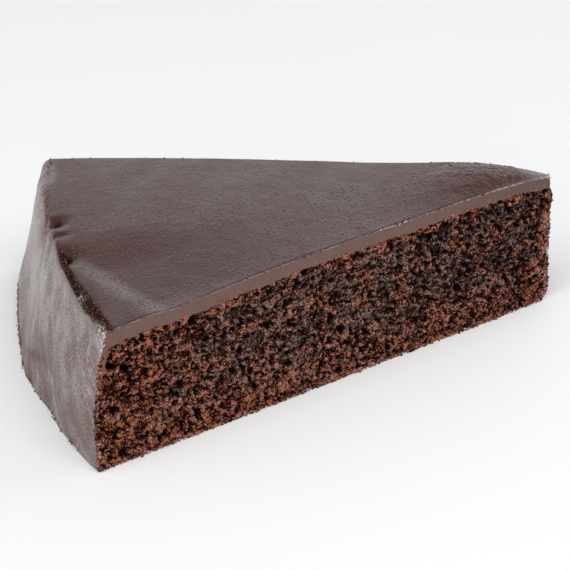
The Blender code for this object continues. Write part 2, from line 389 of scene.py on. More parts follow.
def readMesh(mesh):
    points = np.empty(len(mesh.vertices) * 3, np.float32)
    mesh.vertices.foreach_get("co", points)
    corners = np.empty(len(mesh.loops), np.int32)
    mesh.loops.foreach_get("vertex_index", corners)
    kinds = np.empty(len(mesh.polygons), np.int32)
    mesh.attributes["patch"].data.foreach_get("value", kinds)
    return points.reshape(-1, 3).astype(float), corners.reshape(-1, 3), kinds


def store(mesh, name, values):
    kind = "FLOAT" if values.ndim == 1 else "FLOAT_VECTOR"
    attribute = mesh.attributes.new(name, kind, "POINT")
    key = "value" if values.ndim == 1 else "vector"
    attribute.data.foreach_set(key, values.astype(np.float32).ravel())


def directionsOut(points, triangles):
    # each point's way out, from the faces that are given, and whether it is on one
    a, b, c = (points[triangles[:, n]] for n in range(3))
    normals = np.cross(b - a, c - a)
    out = np.zeros_like(points)
    for n in range(3):
        np.add.at(out, triangles[:, n], normals)
    length = np.linalg.norm(out, axis=1)
    out[length > 0] /= length[length > 0, None]
    return out, length > 0


def polar(points):
    x, y = apexX - points[:, 0], points[:, 1] - apexY
    return np.hypot(x, y), np.arctan2(y, x)


# Nodes, for both the geometry trees and the materials.


def plug(tree, value, socket):
    if isinstance(value, bpy.types.NodeSocket):
        tree.links.new(value, socket)
    else:
        socket.default_value = value


def node(tree, kind, inputs=None, **settings):
    made = tree.nodes.new(kind)
    for name, value in settings.items():
        setattr(made, name, value)
    for name, value in (inputs or {}).items():
        plug(tree, value, made.inputs[name])
    return made


def maths(tree, operation, a, b=0.0, c=0.0, clamp=False):
    values = {0: a, 1: b, 2: c}
    return node(tree, "ShaderNodeMath", values, operation=operation, use_clamp=clamp).outputs[0]


def times(tree, a, b):
    return maths(tree, "MULTIPLY", a, b)


def over(tree, a, b):
    return maths(tree, "DIVIDE", a, b)


def plus(tree, a, b, clamp=False):
    return maths(tree, "ADD", a, b, clamp=clamp)


def minus(tree, a, b, clamp=False):
    return maths(tree, "SUBTRACT", a, b, clamp=clamp)


def timesPlus(tree, a, b, c, clamp=False):
    # a times b, plus c
    return maths(tree, "MULTIPLY_ADD", a, b, c, clamp=clamp)


def vectorMaths(tree, operation, a, b=(0, 0, 0)):
    return node(tree, "ShaderNodeVectorMath", {0: a, 1: b}, operation=operation).outputs[0]


def dot(tree, a, b):
    made = node(tree, "ShaderNodeVectorMath", {0: a, 1: b}, operation="DOT_PRODUCT")
    return made.outputs["Value"]


def combined(tree, x=0.0, y=0.0, z=0.0):
    return node(tree, "ShaderNodeCombineXYZ", {0: x, 1: y, 2: z}).outputs[0]


def scaled(tree, vector, factor):
    return node(tree, "ShaderNodeVectorMath", {0: vector, "Scale": factor},
                operation="SCALE").outputs[0]


def between(tree, value, low, high, toLow=0.0, toHigh=1.0):
    # value from low..high to toLow..toHigh, eased and held at the ends
    inputs = {"Value": value, "From Min": low, "From Max": high, "To Min": toLow, "To Max": toHigh}
    made = node(tree, "ShaderNodeMapRange", inputs, interpolation_type="SMOOTHSTEP")
    return made.outputs["Result"]


def noise(tree, vector, scale, detail=2.0, roughness=0.5, distortion=0.0, output=0):
    inputs = {"Vector": vector, "Scale": scale, "Detail": detail, "Roughness": roughness,
              "Distortion": distortion}
    return node(tree, "ShaderNodeTexNoise", inputs).outputs[output]


def cells(tree, vector, scale):
    return node(tree, "ShaderNodeTexVoronoi", {"Vector": vector, "Scale": scale})


def newTree(name, kind, takes, gives):
    tree = bpy.data.node_groups.new(name, kind)
    for name, (socketKind, start) in takes.items():
        socket = tree.interface.new_socket(name, in_out="INPUT", socket_type=socketKind)
        if start is not None:
            socket.default_value = start
    for name, socketKind in gives.items():
        tree.interface.new_socket(name, in_out="OUTPUT", socket_type=socketKind)
    return tree, tree.nodes.new("NodeGroupInput").outputs, tree.nodes.new("NodeGroupOutput")


def geometryTree(name, sizes):
    takes = {"Geometry": ("NodeSocketGeometry", None)}
    for size, start in sizes.items():
        takes[size] = ("NodeSocketInt" if size == "Seed" else "NodeSocketFloat", start)
    return newTree(name, "GeometryNodeTree", takes, {"Geometry": "NodeSocketGeometry"})


def treeSizes(sizes):
    # the sizes that a tree takes have a capital
    return {name: size for name, size in sizes.items() if name[0].isupper()}


def named(tree, name, kind="FLOAT"):
    return node(tree, "GeometryNodeInputNamedAttribute", {"Name": name}, data_type=kind).outputs[0]


def namedVector(tree, name):
    return named(tree, name, "FLOAT_VECTOR")


def pointPlace(tree):
    return node(tree, "GeometryNodeInputPosition").outputs[0]


def moveBy(tree, geometry, offset):
    inputs = {"Geometry": geometry, "Offset": offset}
    return node(tree, "GeometryNodeSetPosition", inputs).outputs[0]


def moveOut(tree, geometry, amount):
    # along each point's own way out, by so many millimetres
    offset = scaled(tree, namedVector(tree, "faceOut"), times(tree, amount, mm))
    return moveBy(tree, geometry, offset)


def shaded(tree, geometry, smooth=True):
    inputs = {"Geometry": geometry, "Shade Smooth": smooth}
    return node(tree, "GeometryNodeSetShadeSmooth", inputs).outputs[0]


def realised(tree, geometry):
    return node(tree, "GeometryNodeRealizeInstances", {"Geometry": geometry}).outputs[0]


def shiftedPlace(tree, seed):
    # where each point is, in millimetres, moved along so that every seed has its own noise
    return vectorMaths(tree, "ADD", scaled(tree, pointPlace(tree), 1 / mm),
                       combined(tree, seed, seed))


def keep(tree, geometry, name, value, kind="FLOAT"):
    inputs = {"Geometry": geometry, "Name": name, "Value": value}
    return node(tree, "GeometryNodeStoreNamedAttribute", inputs, data_type=kind).outputs[0]


def finishTree(tree, geometry, givesOut, material, others=()):
    # the last nodes of every geometry tree: real mesh, then its material, and others where
    # a face is marked for them
    inputs = {"Geometry": realised(tree, geometry), "Material": material}
    last = node(tree, "GeometryNodeSetMaterial", inputs).outputs[0]
    for mark, other in others:
        inputs = {"Geometry": last, "Material": other, "Selection": named(tree, mark, "BOOLEAN")}
        last = node(tree, "GeometryNodeSetMaterial", inputs).outputs[0]
    tree.links.new(last, givesOut.inputs[0])


def runTree(piece, tree, values):
    # puts the tree on the piece with these inputs and turns the result into its plain mesh
    modifier = piece.modifiers.new(tree.name, "NODES")
    modifier.node_group = tree
    for item in tree.interface.items_tree:
        if item.in_out == "INPUT" and item.name in values:
            modifier[item.identifier] = values[item.name]
    graph = bpy.context.evaluated_depsgraph_get()
    finished = bpy.data.meshes.new_from_object(
        piece.evaluated_get(graph), preserve_all_data_layers=True, depsgraph=graph)
    piece.modifiers.remove(modifier)
    piece.data = finished
    finished.name = piece.name
    return piece


# Materials.


def newMaterial(name, roughness, specular=0.5, ior=1.45):
    material = bpy.data.materials.new(name)
    material.use_nodes = True
    tree = material.node_tree
    shader = tree.nodes["Principled BSDF"]
    shader.inputs["Roughness"].default_value = roughness
    shader.inputs["Specular IOR Level"].default_value = specular
    shader.inputs["IOR"].default_value = ior
    position = node(tree, "ShaderNodeTexCoord").outputs["Object"]
    return material, tree, shader, scaled(tree, position, 1 / mm)


def stored(tree, name, output="Fac"):
    return node(tree, "ShaderNodeAttribute", attribute_name=name).outputs[output]


def blend(tree, factor, a, b):
    made = node(tree, "ShaderNodeMix", data_type="RGBA")
    made.inputs[0].default_value = 1.0
    plug(tree, factor, made.inputs[0])
    plug(tree, a, made.inputs[6])
    plug(tree, b, made.inputs[7])
    return made.outputs[2]


def colour(r, g, b):
    return (r, g, b, 1.0)


def ramp(tree, value, stops):
    made = node(tree, "ShaderNodeValToRGB", {0: value})
    elements = made.color_ramp.elements
    while len(elements) < len(stops):
        elements.new(0.5)
    for element, (spot, shade) in zip(elements, stops):
        element.position = spot
        element.color = shade
    return made.outputs[0]


def bumpNode(tree, height, distance, strength=1.0, after=None):
    inputs = {"Height": height, "Distance": distance, "Strength": strength}
    if after:
        inputs["Normal"] = after
    return node(tree, "ShaderNodeBump", inputs).outputs[0]


def useGroup(tree, group, inputs):
    made = node(tree, "ShaderNodeGroup", node_tree=group)
    for name, value in inputs.items():
        plug(tree, value, made.inputs[name])
    return made.outputs


def mottleGroup():
    # soft cloudy patches with a finer speckle over them, both from 0 to 1
    takes = {"Vector": ("NodeSocketVector", None), "Patch Size": ("NodeSocketFloat", 5.0),
             "Speckle Size": ("NodeSocketFloat", 0.3)}
    gives = {"Patches": "NodeSocketFloat", "Speckle": "NodeSocketFloat"}
    group, given, out = newTree("mottle", "ShaderNodeTree", takes, gives)
    patchScale = over(group, 1.0, given["Patch Size"])
    speckleScale = over(group, 1.0, given["Speckle Size"])
    patches = noise(group, given["Vector"], patchScale, 3.0, 0.55)
    speckle = noise(group, given["Vector"], speckleScale, 2.0, 0.6)
    plug(group, between(group, patches, 0.33, 0.67), out.inputs["Patches"])
    plug(group, between(group, speckle, 0.3, 0.7), out.inputs["Speckle"])
    return group


mottle = mottleGroup()

pouredLooks = {
    "colour": colour(0.050, 0.0162, 0.0135),
    "smooth": colour(0.062, 0.0215, 0.0185),
    "wallSheen": colour(0.310, 0.268, 0.262),     # painted sheen on the wall, less of it lower down
    "wallFoot": colour(0.092, 0.048, 0.040),
    "lip": colour(0.340, 0.300, 0.295),         # painted highlight on the burr along the cut and the corner
    # painted shade: the dark of the groove along the near cut and of the crumbling band
    "groove": colour(0.016, 0.006, 0.0045),
    "gloss": colour(1.0, 0.955, 0.95),
    "roughness": (0.31, 0.40),
    "rippleHeight": 0.10 * mm,
    "grainHeights": (0.017, 0.045),     # on the top and on the wall, in millimetres
}


def pouredGanache():
    material, tree, shader, position = newMaterial("pouredGanache", 0.4, 0.46, ior=1.5)
    shader.inputs["Specular Tint"].default_value = pouredLooks["gloss"]
    soft = useGroup(tree, mottle, {"Vector": position, "Patch Size": 9.0, "Speckle Size": 0.45})
    cloud = times(tree, soft["Patches"], 0.5)
    tint = blend(tree, cloud, pouredLooks["colour"], pouredLooks["smooth"])
    onWall = between(tree, stored(tree, "down"), 0.0, 0.10)
    # on the wall a painted sheen: pale blotches and thin runs of painted reflection over the
    # wall's own colour
    smears = stored(tree, "smear", "Vector")
    drapes = noise(tree, smears, 0.62, 1.7, 0.42, 0.6)
    cloudy = timesPlus(tree, minus(tree, soft["Patches"], 0.5), 0.50, stored(tree, "worn"))
    wallTint = timesPlus(tree, minus(tree, drapes, 0.5), -1.8, cloudy)
    # a few thin pale runs of painted reflection between them
    runs = noise(tree, smears, 0.40, 1.6, 0.45, 0.9)
    runs = maths(tree, "ABSOLUTE", minus(tree, runs, 0.5))
    wallTint = plus(tree, wallTint, between(tree, runs, 0.0, 0.022, -0.55, 0.0))
    sheenBlotches = noise(tree, position, 2.3, 2.0, 0.7)
    wallTint = timesPlus(tree, minus(tree, sheenBlotches, 0.5), -4.2, wallTint, clamp=True)
    wallTint = blend(tree, wallTint, pouredLooks["wallSheen"], pouredLooks["wallFoot"])
    tint = blend(tree, onWall, tint, wallTint)
    # painted shade in the crumbling band and in the groove along the near cut, and a painted
    # highlight on the pale lips
    tint = blend(tree, stored(tree, "grainAndShade"), tint, pouredLooks["groove"])
    tint = blend(tree, stored(tree, "lip"), tint, pouredLooks["lip"])
    plug(tree, tint, shader.inputs["Base Color"])
    low, high = pouredLooks["roughness"]
    rough = between(tree, soft["Patches"], 0, 1, low, high)
    plug(tree, timesPlus(tree, stored(tree, "grainAndShade"), 0.35, rough), shader.inputs["Roughness"])
    ripple = noise(tree, position, 0.5, 3.0, 0.55)
    first = bumpNode(tree, ripple, pouredLooks["rippleHeight"])
    grain = noise(tree, position, 2.3, 2.0, 0.6)
    topGrain, wallGrain = pouredLooks["grainHeights"]
    grain = times(tree, grain, timesPlus(tree, onWall, wallGrain - topGrain, topGrain))
    plug(tree, bumpNode(tree, grain, 6 * mm, after=first), shader.inputs["Normal"])
    return material


cutLooks = {
    "colour": colour(0.130, 0.065, 0.0525),
    "dark": colour(0.102, 0.050, 0.040),
    "nearTip": colour(0.088, 0.048, 0.039),
    "spot": colour(0.200, 0.130, 0.115),
    "roughness": 0.62,
}


def cutGanache():
    material, tree, shader, position = newMaterial("cutGanache", cutLooks["roughness"])
    soft = useGroup(tree, mottle, {"Vector": position, "Patch Size": 4.0, "Speckle Size": 0.35})
    cloud = times(tree, soft["Patches"], 0.5)
    shade = blend(tree, cloud, cutLooks["colour"], cutLooks["dark"])
    reach = stored(tree, "reach")
    shade = blend(tree, between(tree, reach, 10.0, 36.0, 0.8, 0.0), shade, cutLooks["nearTip"])
    spots = noise(tree, position, 1.5, 2.0, 0.6)
    shade = blend(tree, between(tree, spots, 0.62, 0.76, 0.0, 0.7), shade, cutLooks["spot"])
    shade = blend(tree, between(tree, spots, 0.36, 0.26, 0.0, 0.5), shade, cutLooks["nearTip"])
    plug(tree, shade, shader.inputs["Base Color"])
    drags = noise(tree, vectorMaths(tree, "MULTIPLY", position, (2.2, 2.2, 0.25)), 1.0, 3.0)
    first = bumpNode(tree, drags, 0.15 * mm, 0.6)
    plug(tree, bumpNode(tree, soft["Speckle"], 0.07 * mm, 0.7, first), shader.inputs["Normal"])
    return material


crumbledLooks = {
    "dark": colour(0.003, 0.0012, 0.0009),
    "plain": colour(0.105, 0.0400, 0.0280),
    "pale": colour(0.600, 0.5700, 0.5650),
    "roughness": 0.8,
}


def crumbledGanache():
    # broken ganache on the rim, near black with painted shade in its pits, and pale flakes whose
    # paleness is a painted highlight
    looks = crumbledLooks
    material, tree, shader, position = newMaterial("crumbledGanache", looks["roughness"], 0.04)
    soft = useGroup(tree, mottle, {"Vector": position, "Patch Size": 0.9, "Speckle Size": 0.32})
    # painted shade in the pits and in the crumbling band
    darkness = timesPlus(tree, minus(tree, soft["Speckle"], 0.5), 0.9,
                         times(tree, stored(tree, "grainAndShade"), 1.1), clamp=True)
    tint = blend(tree, darkness, looks["plain"], looks["dark"])
    tint = blend(tree, stored(tree, "lip"), tint, looks["pale"])
    plug(tree, tint, shader.inputs["Base Color"])
    grain = noise(tree, position, 3.0, 3.0, 0.65)
    plug(tree, bumpNode(tree, grain, 0.4 * mm, 0.8), shader.inputs["Normal"])
    return material


crumbLooks = {                  # stops along the rise of the crumb, from pit to top: painted shade in the pits, painted highlights on the tops
    "dry": ((0.00, colour(0.0008, 0.0003, 0.0002)), (0.25, colour(0.012, 0.0027, 0.0015)),
            (0.50, colour(0.076, 0.0182, 0.0102)), (0.74, colour(0.195, 0.0560, 0.0330)),
            (0.90, colour(0.350, 0.1250, 0.0780)), (1.00, colour(0.520, 0.2350, 0.1600))),
    "moist": ((0.00, colour(0.0007, 0.0003, 0.0002)), (0.25, colour(0.006, 0.0027, 0.0022)),
              (0.50, colour(0.041, 0.0215, 0.0188)), (0.74, colour(0.104, 0.0640, 0.0560)),
              (0.90, colour(0.170, 0.1130, 0.1000)), (1.00, colour(0.260, 0.1900, 0.1720))),
    # painted orange glow and glints on the crumbs
    "glowGlint": colour(0.420, 0.115, 0.042),
    "roughness": (0.55, 0.80),
}


def crumbMaterial():
    material, tree, shader, position = newMaterial("crumb", 0.7, 0.04)
    soft = useGroup(tree, mottle, {"Vector": position, "Patch Size": 3.8, "Speckle Size": 0.33})
    stir = timesPlus(tree, minus(tree, soft["Speckle"], 0.5), 0.95, stored(tree, "rise"))
    stir = timesPlus(tree, minus(tree, soft["Patches"], 0.5), 0.24, stir)
    stir = plus(tree, stir, stored(tree, "tone"))
    dry = ramp(tree, stir, crumbLooks["dry"])
    moist = ramp(tree, stir, crumbLooks["moist"])
    # painted glow on crumbs of middle rise, where the glow mask allows
    glowGlint = times(tree, stored(tree, "glow"), between(tree, stir, 0.30, 0.55))
    dry = blend(tree, glowGlint, dry, crumbLooks["glowGlint"])
    # painted glints, fewer in the moist patches
    spark = noise(tree, position, 1.25, 1.0, 0.5)
    spark = times(tree, between(tree, spark, 0.60, 0.68, 0.0, 0.8),
                  between(tree, stir, 0.40, 0.62))
    spark = times(tree, spark, timesPlus(tree, stored(tree, "moist"), -0.65, 1.0))
    # single crumbs stay dry in the moist patches, and moist ones show between dry ones
    fleck = noise(tree, position, 1.5, 1.0, 0.5)
    wet = timesPlus(tree, minus(tree, fleck, 0.5), 4.6, stored(tree, "moist"))
    wet = plus(tree, wet, 0.26, clamp=True)
    shade = blend(tree, wet, dry, moist)
    plug(tree, blend(tree, spark, shade, crumbLooks["glowGlint"]), shader.inputs["Base Color"])
    low, high = crumbLooks["roughness"]
    plug(tree, between(tree, stored(tree, "moist"), 0, 1, high, low), shader.inputs["Roughness"])
    grain = noise(tree, position, 3.4, 3.0, 0.65)
    plug(tree, bumpNode(tree, grain, 0.5 * mm, 0.9), shader.inputs["Normal"])
    return material


pouredLook = pouredGanache()
cutLook = cutGanache()
crumbledLook = crumbledGanache()
crumbLook = crumbMaterial()
print("materials made")

# The ganache.
ganacheSizes = {
    "topSpacing": 0.38 * mm,
    "wallSpacing": 0.50 * mm,
    "edgeSpacing": 0.19 * mm,
    "rimSpacing": 0.29 * mm,
    "edgeZone": 1.0 * mm,
    "rimZone": 2.6 * mm,
    "cutSpacing": 0.24 * mm,
    "farSpacing": 0.55 * mm,
    "backSpacing": 2.6 * mm,
    "acrossSteps": 220,
    "cornerRows": 6,
    "footRows": 3,
    # marks: sides run from -1 at the near cut to 1 at the far one
    "worn": 0.66,               # how far the painted sheen on the wall fades out, from 0 to 1
    "palest": (0.60, 0.31, 0.28, 0.21),      # more painted sheen: amount, how far down, slant, width
    "wornFoot": (0.26, 0.42, 0.35),          # less painted sheen: amount, from how far down, over
    "wornNear": (0.14, 0.3, 0.4),            # likewise towards the near cut
    "bruise": (-0.15, 1.5, 0.07, 0.78, 0.13),    # side, slant, width, down, height
    "foldPlace": (0.34, 0.24, 0.07, 0.10),       # side, width, down, height
    "band": (1.6, 1.3, 1.2),    # the crumbling rim with its painted shade, in mm: width, more near the cut, wander
    "groove": (0.70, 0.26),     # a painted shadow line along the near cut, in mm: place, width
    "burr": (0.22, 0.28),       # the lip outside it, with a painted highlight, likewise
    "flakes": (0.36, -0.62, 0.05),           # pale flakes on the rim: amount, side, width
    "cornerFlakes": 0.65,
    # a painted highlight on the tip's edge
    "tipLip": 0.42,
    "beadRise": (1.0, 0.6),     # the beads lie lower towards the far cut
    "Wave": 0.10,              # millimetres, as the rest are
    "Hammer": 0.42,
    "Streak": 0.22,
    "Folds": 1.50,
    "Grain": 0.50,
    "Lip": 0.16,
    "Seed": 3,
}


def ganacheReliefTree():
    tree, given, out = geometryTree("ganacheRelief", treeSizes(ganacheSizes))
    where = shiftedPlace(tree, given["Seed"])

    def waves(vector, scale, detail=2.0, roughness=0.5):
        # noise about nought, from about -1 to 1
        found = noise(tree, vector, scale, detail, roughness)
        return timesPlus(tree, found, 2.0, -1.0)

    height = times(tree, waves(where, 0.11), given["Wave"])
    # choppy ripples near the tip, fading towards the middle
    squat = vectorMaths(tree, "MULTIPLY", where, (1.0, 0.7, 1.0))
    chop = times(tree, waves(squat, 0.42), 0.45)
    chop = timesPlus(tree, waves(squat, 1.7, 3.0, 0.65), 0.80, chop)
    chop = times(tree, chop, between(tree, named(tree, "reach"), 14.0, 44.0, 1.0, 0.04))
    chop = times(tree, chop, between(tree, named(tree, "reach"), 4.0, 9.0, 0.25, 1.0))
    height = timesPlus(tree, chop, given["Hammer"], height)
    # long soft smears down the wall
    smear = waves(namedVector(tree, "smear"), 0.60, 1.0, 0.35)
    smear = times(tree, smear, between(tree, named(tree, "down"), 0.01, 0.2))
    height = timesPlus(tree, smear, given["Streak"], height)
    folds = waves(scaled(tree, namedVector(tree, "smear"), 2.3), 1.0, 2.0, 0.5)
    folds = times(tree, folds, named(tree, "folded"))
    height = timesPlus(tree, folds, given["Folds"], height)
    # a rough, crumbling band inside the rim, and the lip that the knife leaves along the cut
    grain = minus(tree, noise(tree, where, 1.6, 3.0, 0.7), 0.60)
    grain = times(tree, grain, times(tree, named(tree, "grainAndShade"), 3.0))
    height = timesPlus(tree, grain, given["Grain"], height)
    flakes = between(tree, noise(tree, where, 1.3, 2.0, 0.7), 0.45, 0.7)
    flakes = times(tree, flakes, named(tree, "lip"))
    height = timesPlus(tree, flakes, given["Lip"], height)
    height = times(tree, height, named(tree, "skin"))
    moved = moveOut(tree, given["Geometry"], height)
    finishTree(tree, shaded(tree, moved), out, pouredLook,
               (("crumbled", crumbledLook), ("cut", cutLook)))
    return tree


def ganachePatches():
    size = ganacheSizes
    face = sheetEdges(pouredFace, size["cutSpacing"], size["acrossSteps"], lifted=True)
    back = sheetEdges(pouredBack, 2 * size["cutSpacing"], size["acrossSteps"], lifted=True)

    def inSpace(edges, sheet):
        return {side: sheetPoint(line[:, 0], line[:, 1], sheet) for side, line in edges.items()}

    faceLines, backLines = inSpace(face, pouredFace), inSpace(back, pouredBack)

    def nearEdge(reach, phi):
        return reach * (phi + half) < size["edgeZone"]

    def rimZone(reach, phi):
        return np.abs(reach - flatEnd(phi, pouredFace) - 1 * mm) < size["rimZone"]

    def corner(reach, phi):
        return rimZone(reach, phi) & (phi < -0.45 * half)

    def facePoints(fan):
        # closer points along the near edge and the rim, and closest at the rough near corner
        def plain(reach, phi):
            return ~nearEdge(reach, phi) & ~rimZone(reach, phi)

        def onTop(reach, phi):
            return reach < flatEnd(phi, pouredFace)

        zones = (
            (size["edgeSpacing"], lambda reach, phi: nearEdge(reach, phi) | corner(reach, phi)),
            (size["rimSpacing"], lambda reach, phi: rimZone(reach, phi) & ~corner(reach, phi)
             & ~nearEdge(reach, phi)),
            (size["topSpacing"], lambda reach, phi: onTop(reach, phi) & plain(reach, phi)),
            (size["wallSpacing"], lambda reach, phi: ~onTop(reach, phi) & plain(reach, phi)),
        )
        return np.concatenate([scatterInside(fan, spacing, 11 + i, zone)
                               for i, (spacing, zone) in enumerate(zones)])

    def sheetLoop(edges):
        return closedLoop(edges["near"], edges["foot"], edges["far"][::-1], edges["tip"][::-1])

    patches = [fanFill(pouredFace, sheetLoop(face), facePoints)]
    for side, phi, spacing, end in (("near", -half, size["cutSpacing"], 0),
                                    ("far", half, size["farSpacing"], -1)):
        footCorner = mix(faceLines["foot"][end], backLines["foot"][end],
                         np.linspace(0, 1, size["footRows"] + 1)[:, None])
        tipCorner = mix(backLines["tip"][end], faceLines["tip"][end],
                        np.linspace(0, 1, size["cornerRows"] + 1)[:, None])
        loop = closedLoop(faceLines[side], footCorner, backLines[side][::-1], tipCorner)
        patches.append(cutFill(phi, loop, lambda flat: scatterInside(flat, spacing, 13)))
    patches.append(fanFill(pouredBack, sheetLoop(back),
                           lambda fan: scatterInside(fan, size["backSpacing"], 14)))
    patches.append(bridgeLines(faceLines["foot"], backLines["foot"], size["footRows"]))
    patches.append(bridgeLines(faceLines["tip"], backLines["tip"], size["cornerRows"]))
    return patches


def markWall(mesh, side, down):
    marks = ganacheSizes
    across = side * half * wedge["foot"] / mm
    store(mesh, "smear", np.stack([across / 4.6 + down * 6.5, down * 2.6, 0 * across], 1))
    # how little painted sheen the wall shows: most in the palest streak, less towards the foot and
    # the near cut, and less along the bruise
    amount, palestDown, slant, width = marks["palest"]
    palest = bump(down - palestDown - slant * side, width) * ease((side + 0.35) / 0.4)
    worn = marks["worn"] - amount * palest
    amount, start, length = marks["wornFoot"]
    worn = worn + amount * ease((down - start) / length)
    amount, start, length = marks["wornNear"]
    worn = worn + amount * ease((-side - start) / length) * ease(down / 0.15)
    bruiseSide, slant, width, bruiseDown, height = marks["bruise"]
    bruise = bump(side - bruiseSide - slant * (down - bruiseDown), width)
    bruise = bruise * bump(down - bruiseDown, height)
    store(mesh, "worn", worn + 0.7 * bruise)
    foldSide, width, foldDown, height = marks["foldPlace"]
    folded = bump(side - foldSide, width) * bump(down - foldDown, height) * ease(down / 0.02)
    store(mesh, "folded", folded + 0.4 * bruise)


def markTop(mesh, r, side, inset, down, onSkin):
    # the broken rim and its painted shade, the pale lips and their painted highlight, the loose
    # flakes and the beads; says where it is broken
    marks = ganacheSizes
    nearCut = r * half * np.abs(side + 1) / mm
    farCut = r * half * np.abs(1 - side) / mm
    onTop = 1 - ease(down / 0.03)
    random = np.random.default_rng(ganacheSizes["Seed"])
    fineDrift, drift = (
        np.interp(r / mm, np.arange(0, 140, gap), random.uniform(0, 1, math.ceil(140 / gap)))
        for gap in (0.7, 4.0))
    ragged = np.clip(0.9 * fineDrift + 0.7 * drift - 0.35, 0, 1)
    # the rim crumbles inside the near half and about the dents, with painted shade there
    width, more, wander = marks["band"]
    bandEnd = width + more * ease((-side - 0.3) / 0.5) + wander * (drift - 0.5)
    band = ease((inset + 0.7) / 0.8) * ease((bandEnd - inset) / 1.3) * ease((-side - 0.02) / 0.15)
    patches = sum(bump(side - angle / math.degrees(half), 0.05) * depth / mm
                  for angle, _, depth in wedge["dents"])
    grainAndShade = np.clip(0.85 * band + 0.7 * patches * bump(inset - 1.4, 1.4), 0, 1) * onTop
    # a painted shadow line in the groove along the near cut
    spot, width = marks["groove"]
    groove = bump(nearCut - spot, width) * onTop * (0.35 + 0.65 * ragged)
    store(mesh, "grainAndShade", np.clip(grainAndShade + 0.9 * groove, 0, 1))
    # pale lips, a painted highlight: along the near cut, at the near corner, down the wall's edge,
    # and at the tip
    flecks = np.clip(2.4 * fineDrift - 0.7, 0, 1)
    corner = ease((-side - 0.6) / 0.4) * bump(inset + 0.5, 0.8) * flecks
    edge = bump(nearCut, 0.5) * ease((down - 0.02) / 0.05) * ease((0.2 - down) / 0.1) * 0.8
    tip = ease((9 - r / mm) / 7) * marks["tipLip"]
    tip = tip + bump(r / mm - 12, 9) * bump(nearCut - 0.3, 0.6) * 0.2
    spot, width = marks["burr"]
    burr = bump(nearCut - spot, width) * np.clip(1.7 * ragged - 0.35, 0.04, 1)
    store(mesh, "lip", np.clip((burr + tip) * onTop + corner + edge, 0, 1) * onSkin)
    # where loose flakes lie, and how pale they are: dark with painted shade on the rim, pale with
    # a painted highlight outside it
    amount, flakeSide, width = marks["flakes"]
    outside = (amount * bump(inset - 0.1, 1.0) * bump(side - flakeSide, width)
               + marks["cornerFlakes"] * bump(inset + 0.3, 0.9) * ease((-side - 0.84) / 0.1))
    sideLip = bump(nearCut - 0.4, 0.8) * ease((down - 0.01) / 0.03) * ease((0.16 - down) / 0.06)
    knife = bump(nearCut - 0.15, 0.3) * ragged * onTop * bump(r / mm - 40, 32)
    pale = np.clip(outside + sideLip + 0.75 * knife, 0, 1)
    store(mesh, "paleness", np.clip(1.4 * pale, 0, 1))
    strewn = ease((band * onTop - 0.25) / 0.3) + ease((pale - 0.25) / 0.4)
    store(mesh, "strewn", np.clip(strewn, 0, 1) * onSkin)
    beads = onTop * ease((inset - 1.5) / 2) * ease((nearCut - 1.2) / 1) * ease((farCut - 1.0) / 1)
    store(mesh, "beaded", beads * mix(0.25, 1.0, ease((r / mm - 12) / 30)))
    store(mesh, "beadRise", mix(*marks["beadRise"], ease((side + 0.1) / 0.8)))
    return grainAndShade + 0.9 * bump((r - tipR) / mm, 1.0) * ease(side) * onTop


def makeGanache():
    piece = weldPatches("ganache_coat", ganachePatches())
    mesh = piece.data
    points, triangles, kinds = readMesh(mesh)
    r, phi = polar(points)
    side = phi / half
    out, onSkin = directionsOut(points, triangles[kinds == 0])
    # how far down the wall each point is, from nought where the rim has turned
    turn = np.maximum(0.6 * mm, pouredFace["fillet"](phi) - 0.9 * mm)
    outward = r - rimRadius(phi) + turn
    down = 1 - points[:, 2] / topHeight(rimRadius(phi), phi)
    down = down + 0.05 * farEnd(phi) * ease(outward / (2.2 * mm))
    down = np.where(outward > 0, down, 0.0)
    store(mesh, "faceOut", out)
    store(mesh, "skin", onSkin.astype(float))
    store(mesh, "down", np.clip(down, 0, 1))
    store(mesh, "reach", r / mm)
    markWall(mesh, side, down)
    broken = markTop(mesh, r, side, (rimRadius(phi) - r) / mm, down, onSkin)
    cut = mesh.attributes.new("cut", "BOOLEAN", "FACE")
    cut.data.foreach_set("value", kinds > 0)
    crumbled = mesh.attributes.new("crumbled", "BOOLEAN", "FACE")
    crumbled.data.foreach_set("value", (kinds == 0) & (broken[triangles].mean(1) > 0.42))
    runTree(piece, ganacheReliefTree(), ganacheSizes)
    piece.data.set_sharp_from_angle(angle=math.radians(60))
    return piece


ganache = makeGanache()
print("ganache made")

# The sponge.
spongeSizes = {
    "nearSpacing": 0.28 * mm,
    "farSpacing": 0.44 * mm,
    "tipSpacing": 0.28 * mm,
    "coatSpacing": 3.0 * mm,
    "bottomSpacing": 1.3 * mm,
    "acrossSteps": 90,
    "bulge": (26.2 * mm, 3.2 * mm, 1.0 * mm),        # height, width, reach
    "lowerBulge": (19 * mm, 4 * mm, 0.4 * mm),
    # shares: up from the floor, and along the cut from the tip
    "dryFoot": (0.05, 0.40),    # moist above that, over so much
    "dryTop": (0.5, 1.8),       # likewise below the ganache, in mm
    "dryEnd": (0.985, 0.22),
    "dryTip": 0.7,
    "paler": (0.035, 0.55, 0.18),            # amount, where along the cut, width
    "darker": (0.055, 0.42, 0.25),           # towards the tip: amount, from where, over
    "palerTip": 0.12,
    "Lump Size": 1.25,          # millimetres, as the rest are
    "Lump Height": 0.70,
    "Bead Size": 0.62,
    "Bead Height": 0.30,
    "Hole Size": 1.8,
    "Hole Depth": 1.2,
    "Pore Size": 3.6,
    "Pore Depth": 2.0,
    "Tear Depth": 0.8,
    "Wave": 0.9,
    "Clump": 1.6,
    "Set Back": 0.30,
    "Flatten": 1.0,             # how much lower than wide the crumb's cells are
    "Seed": 8,
}


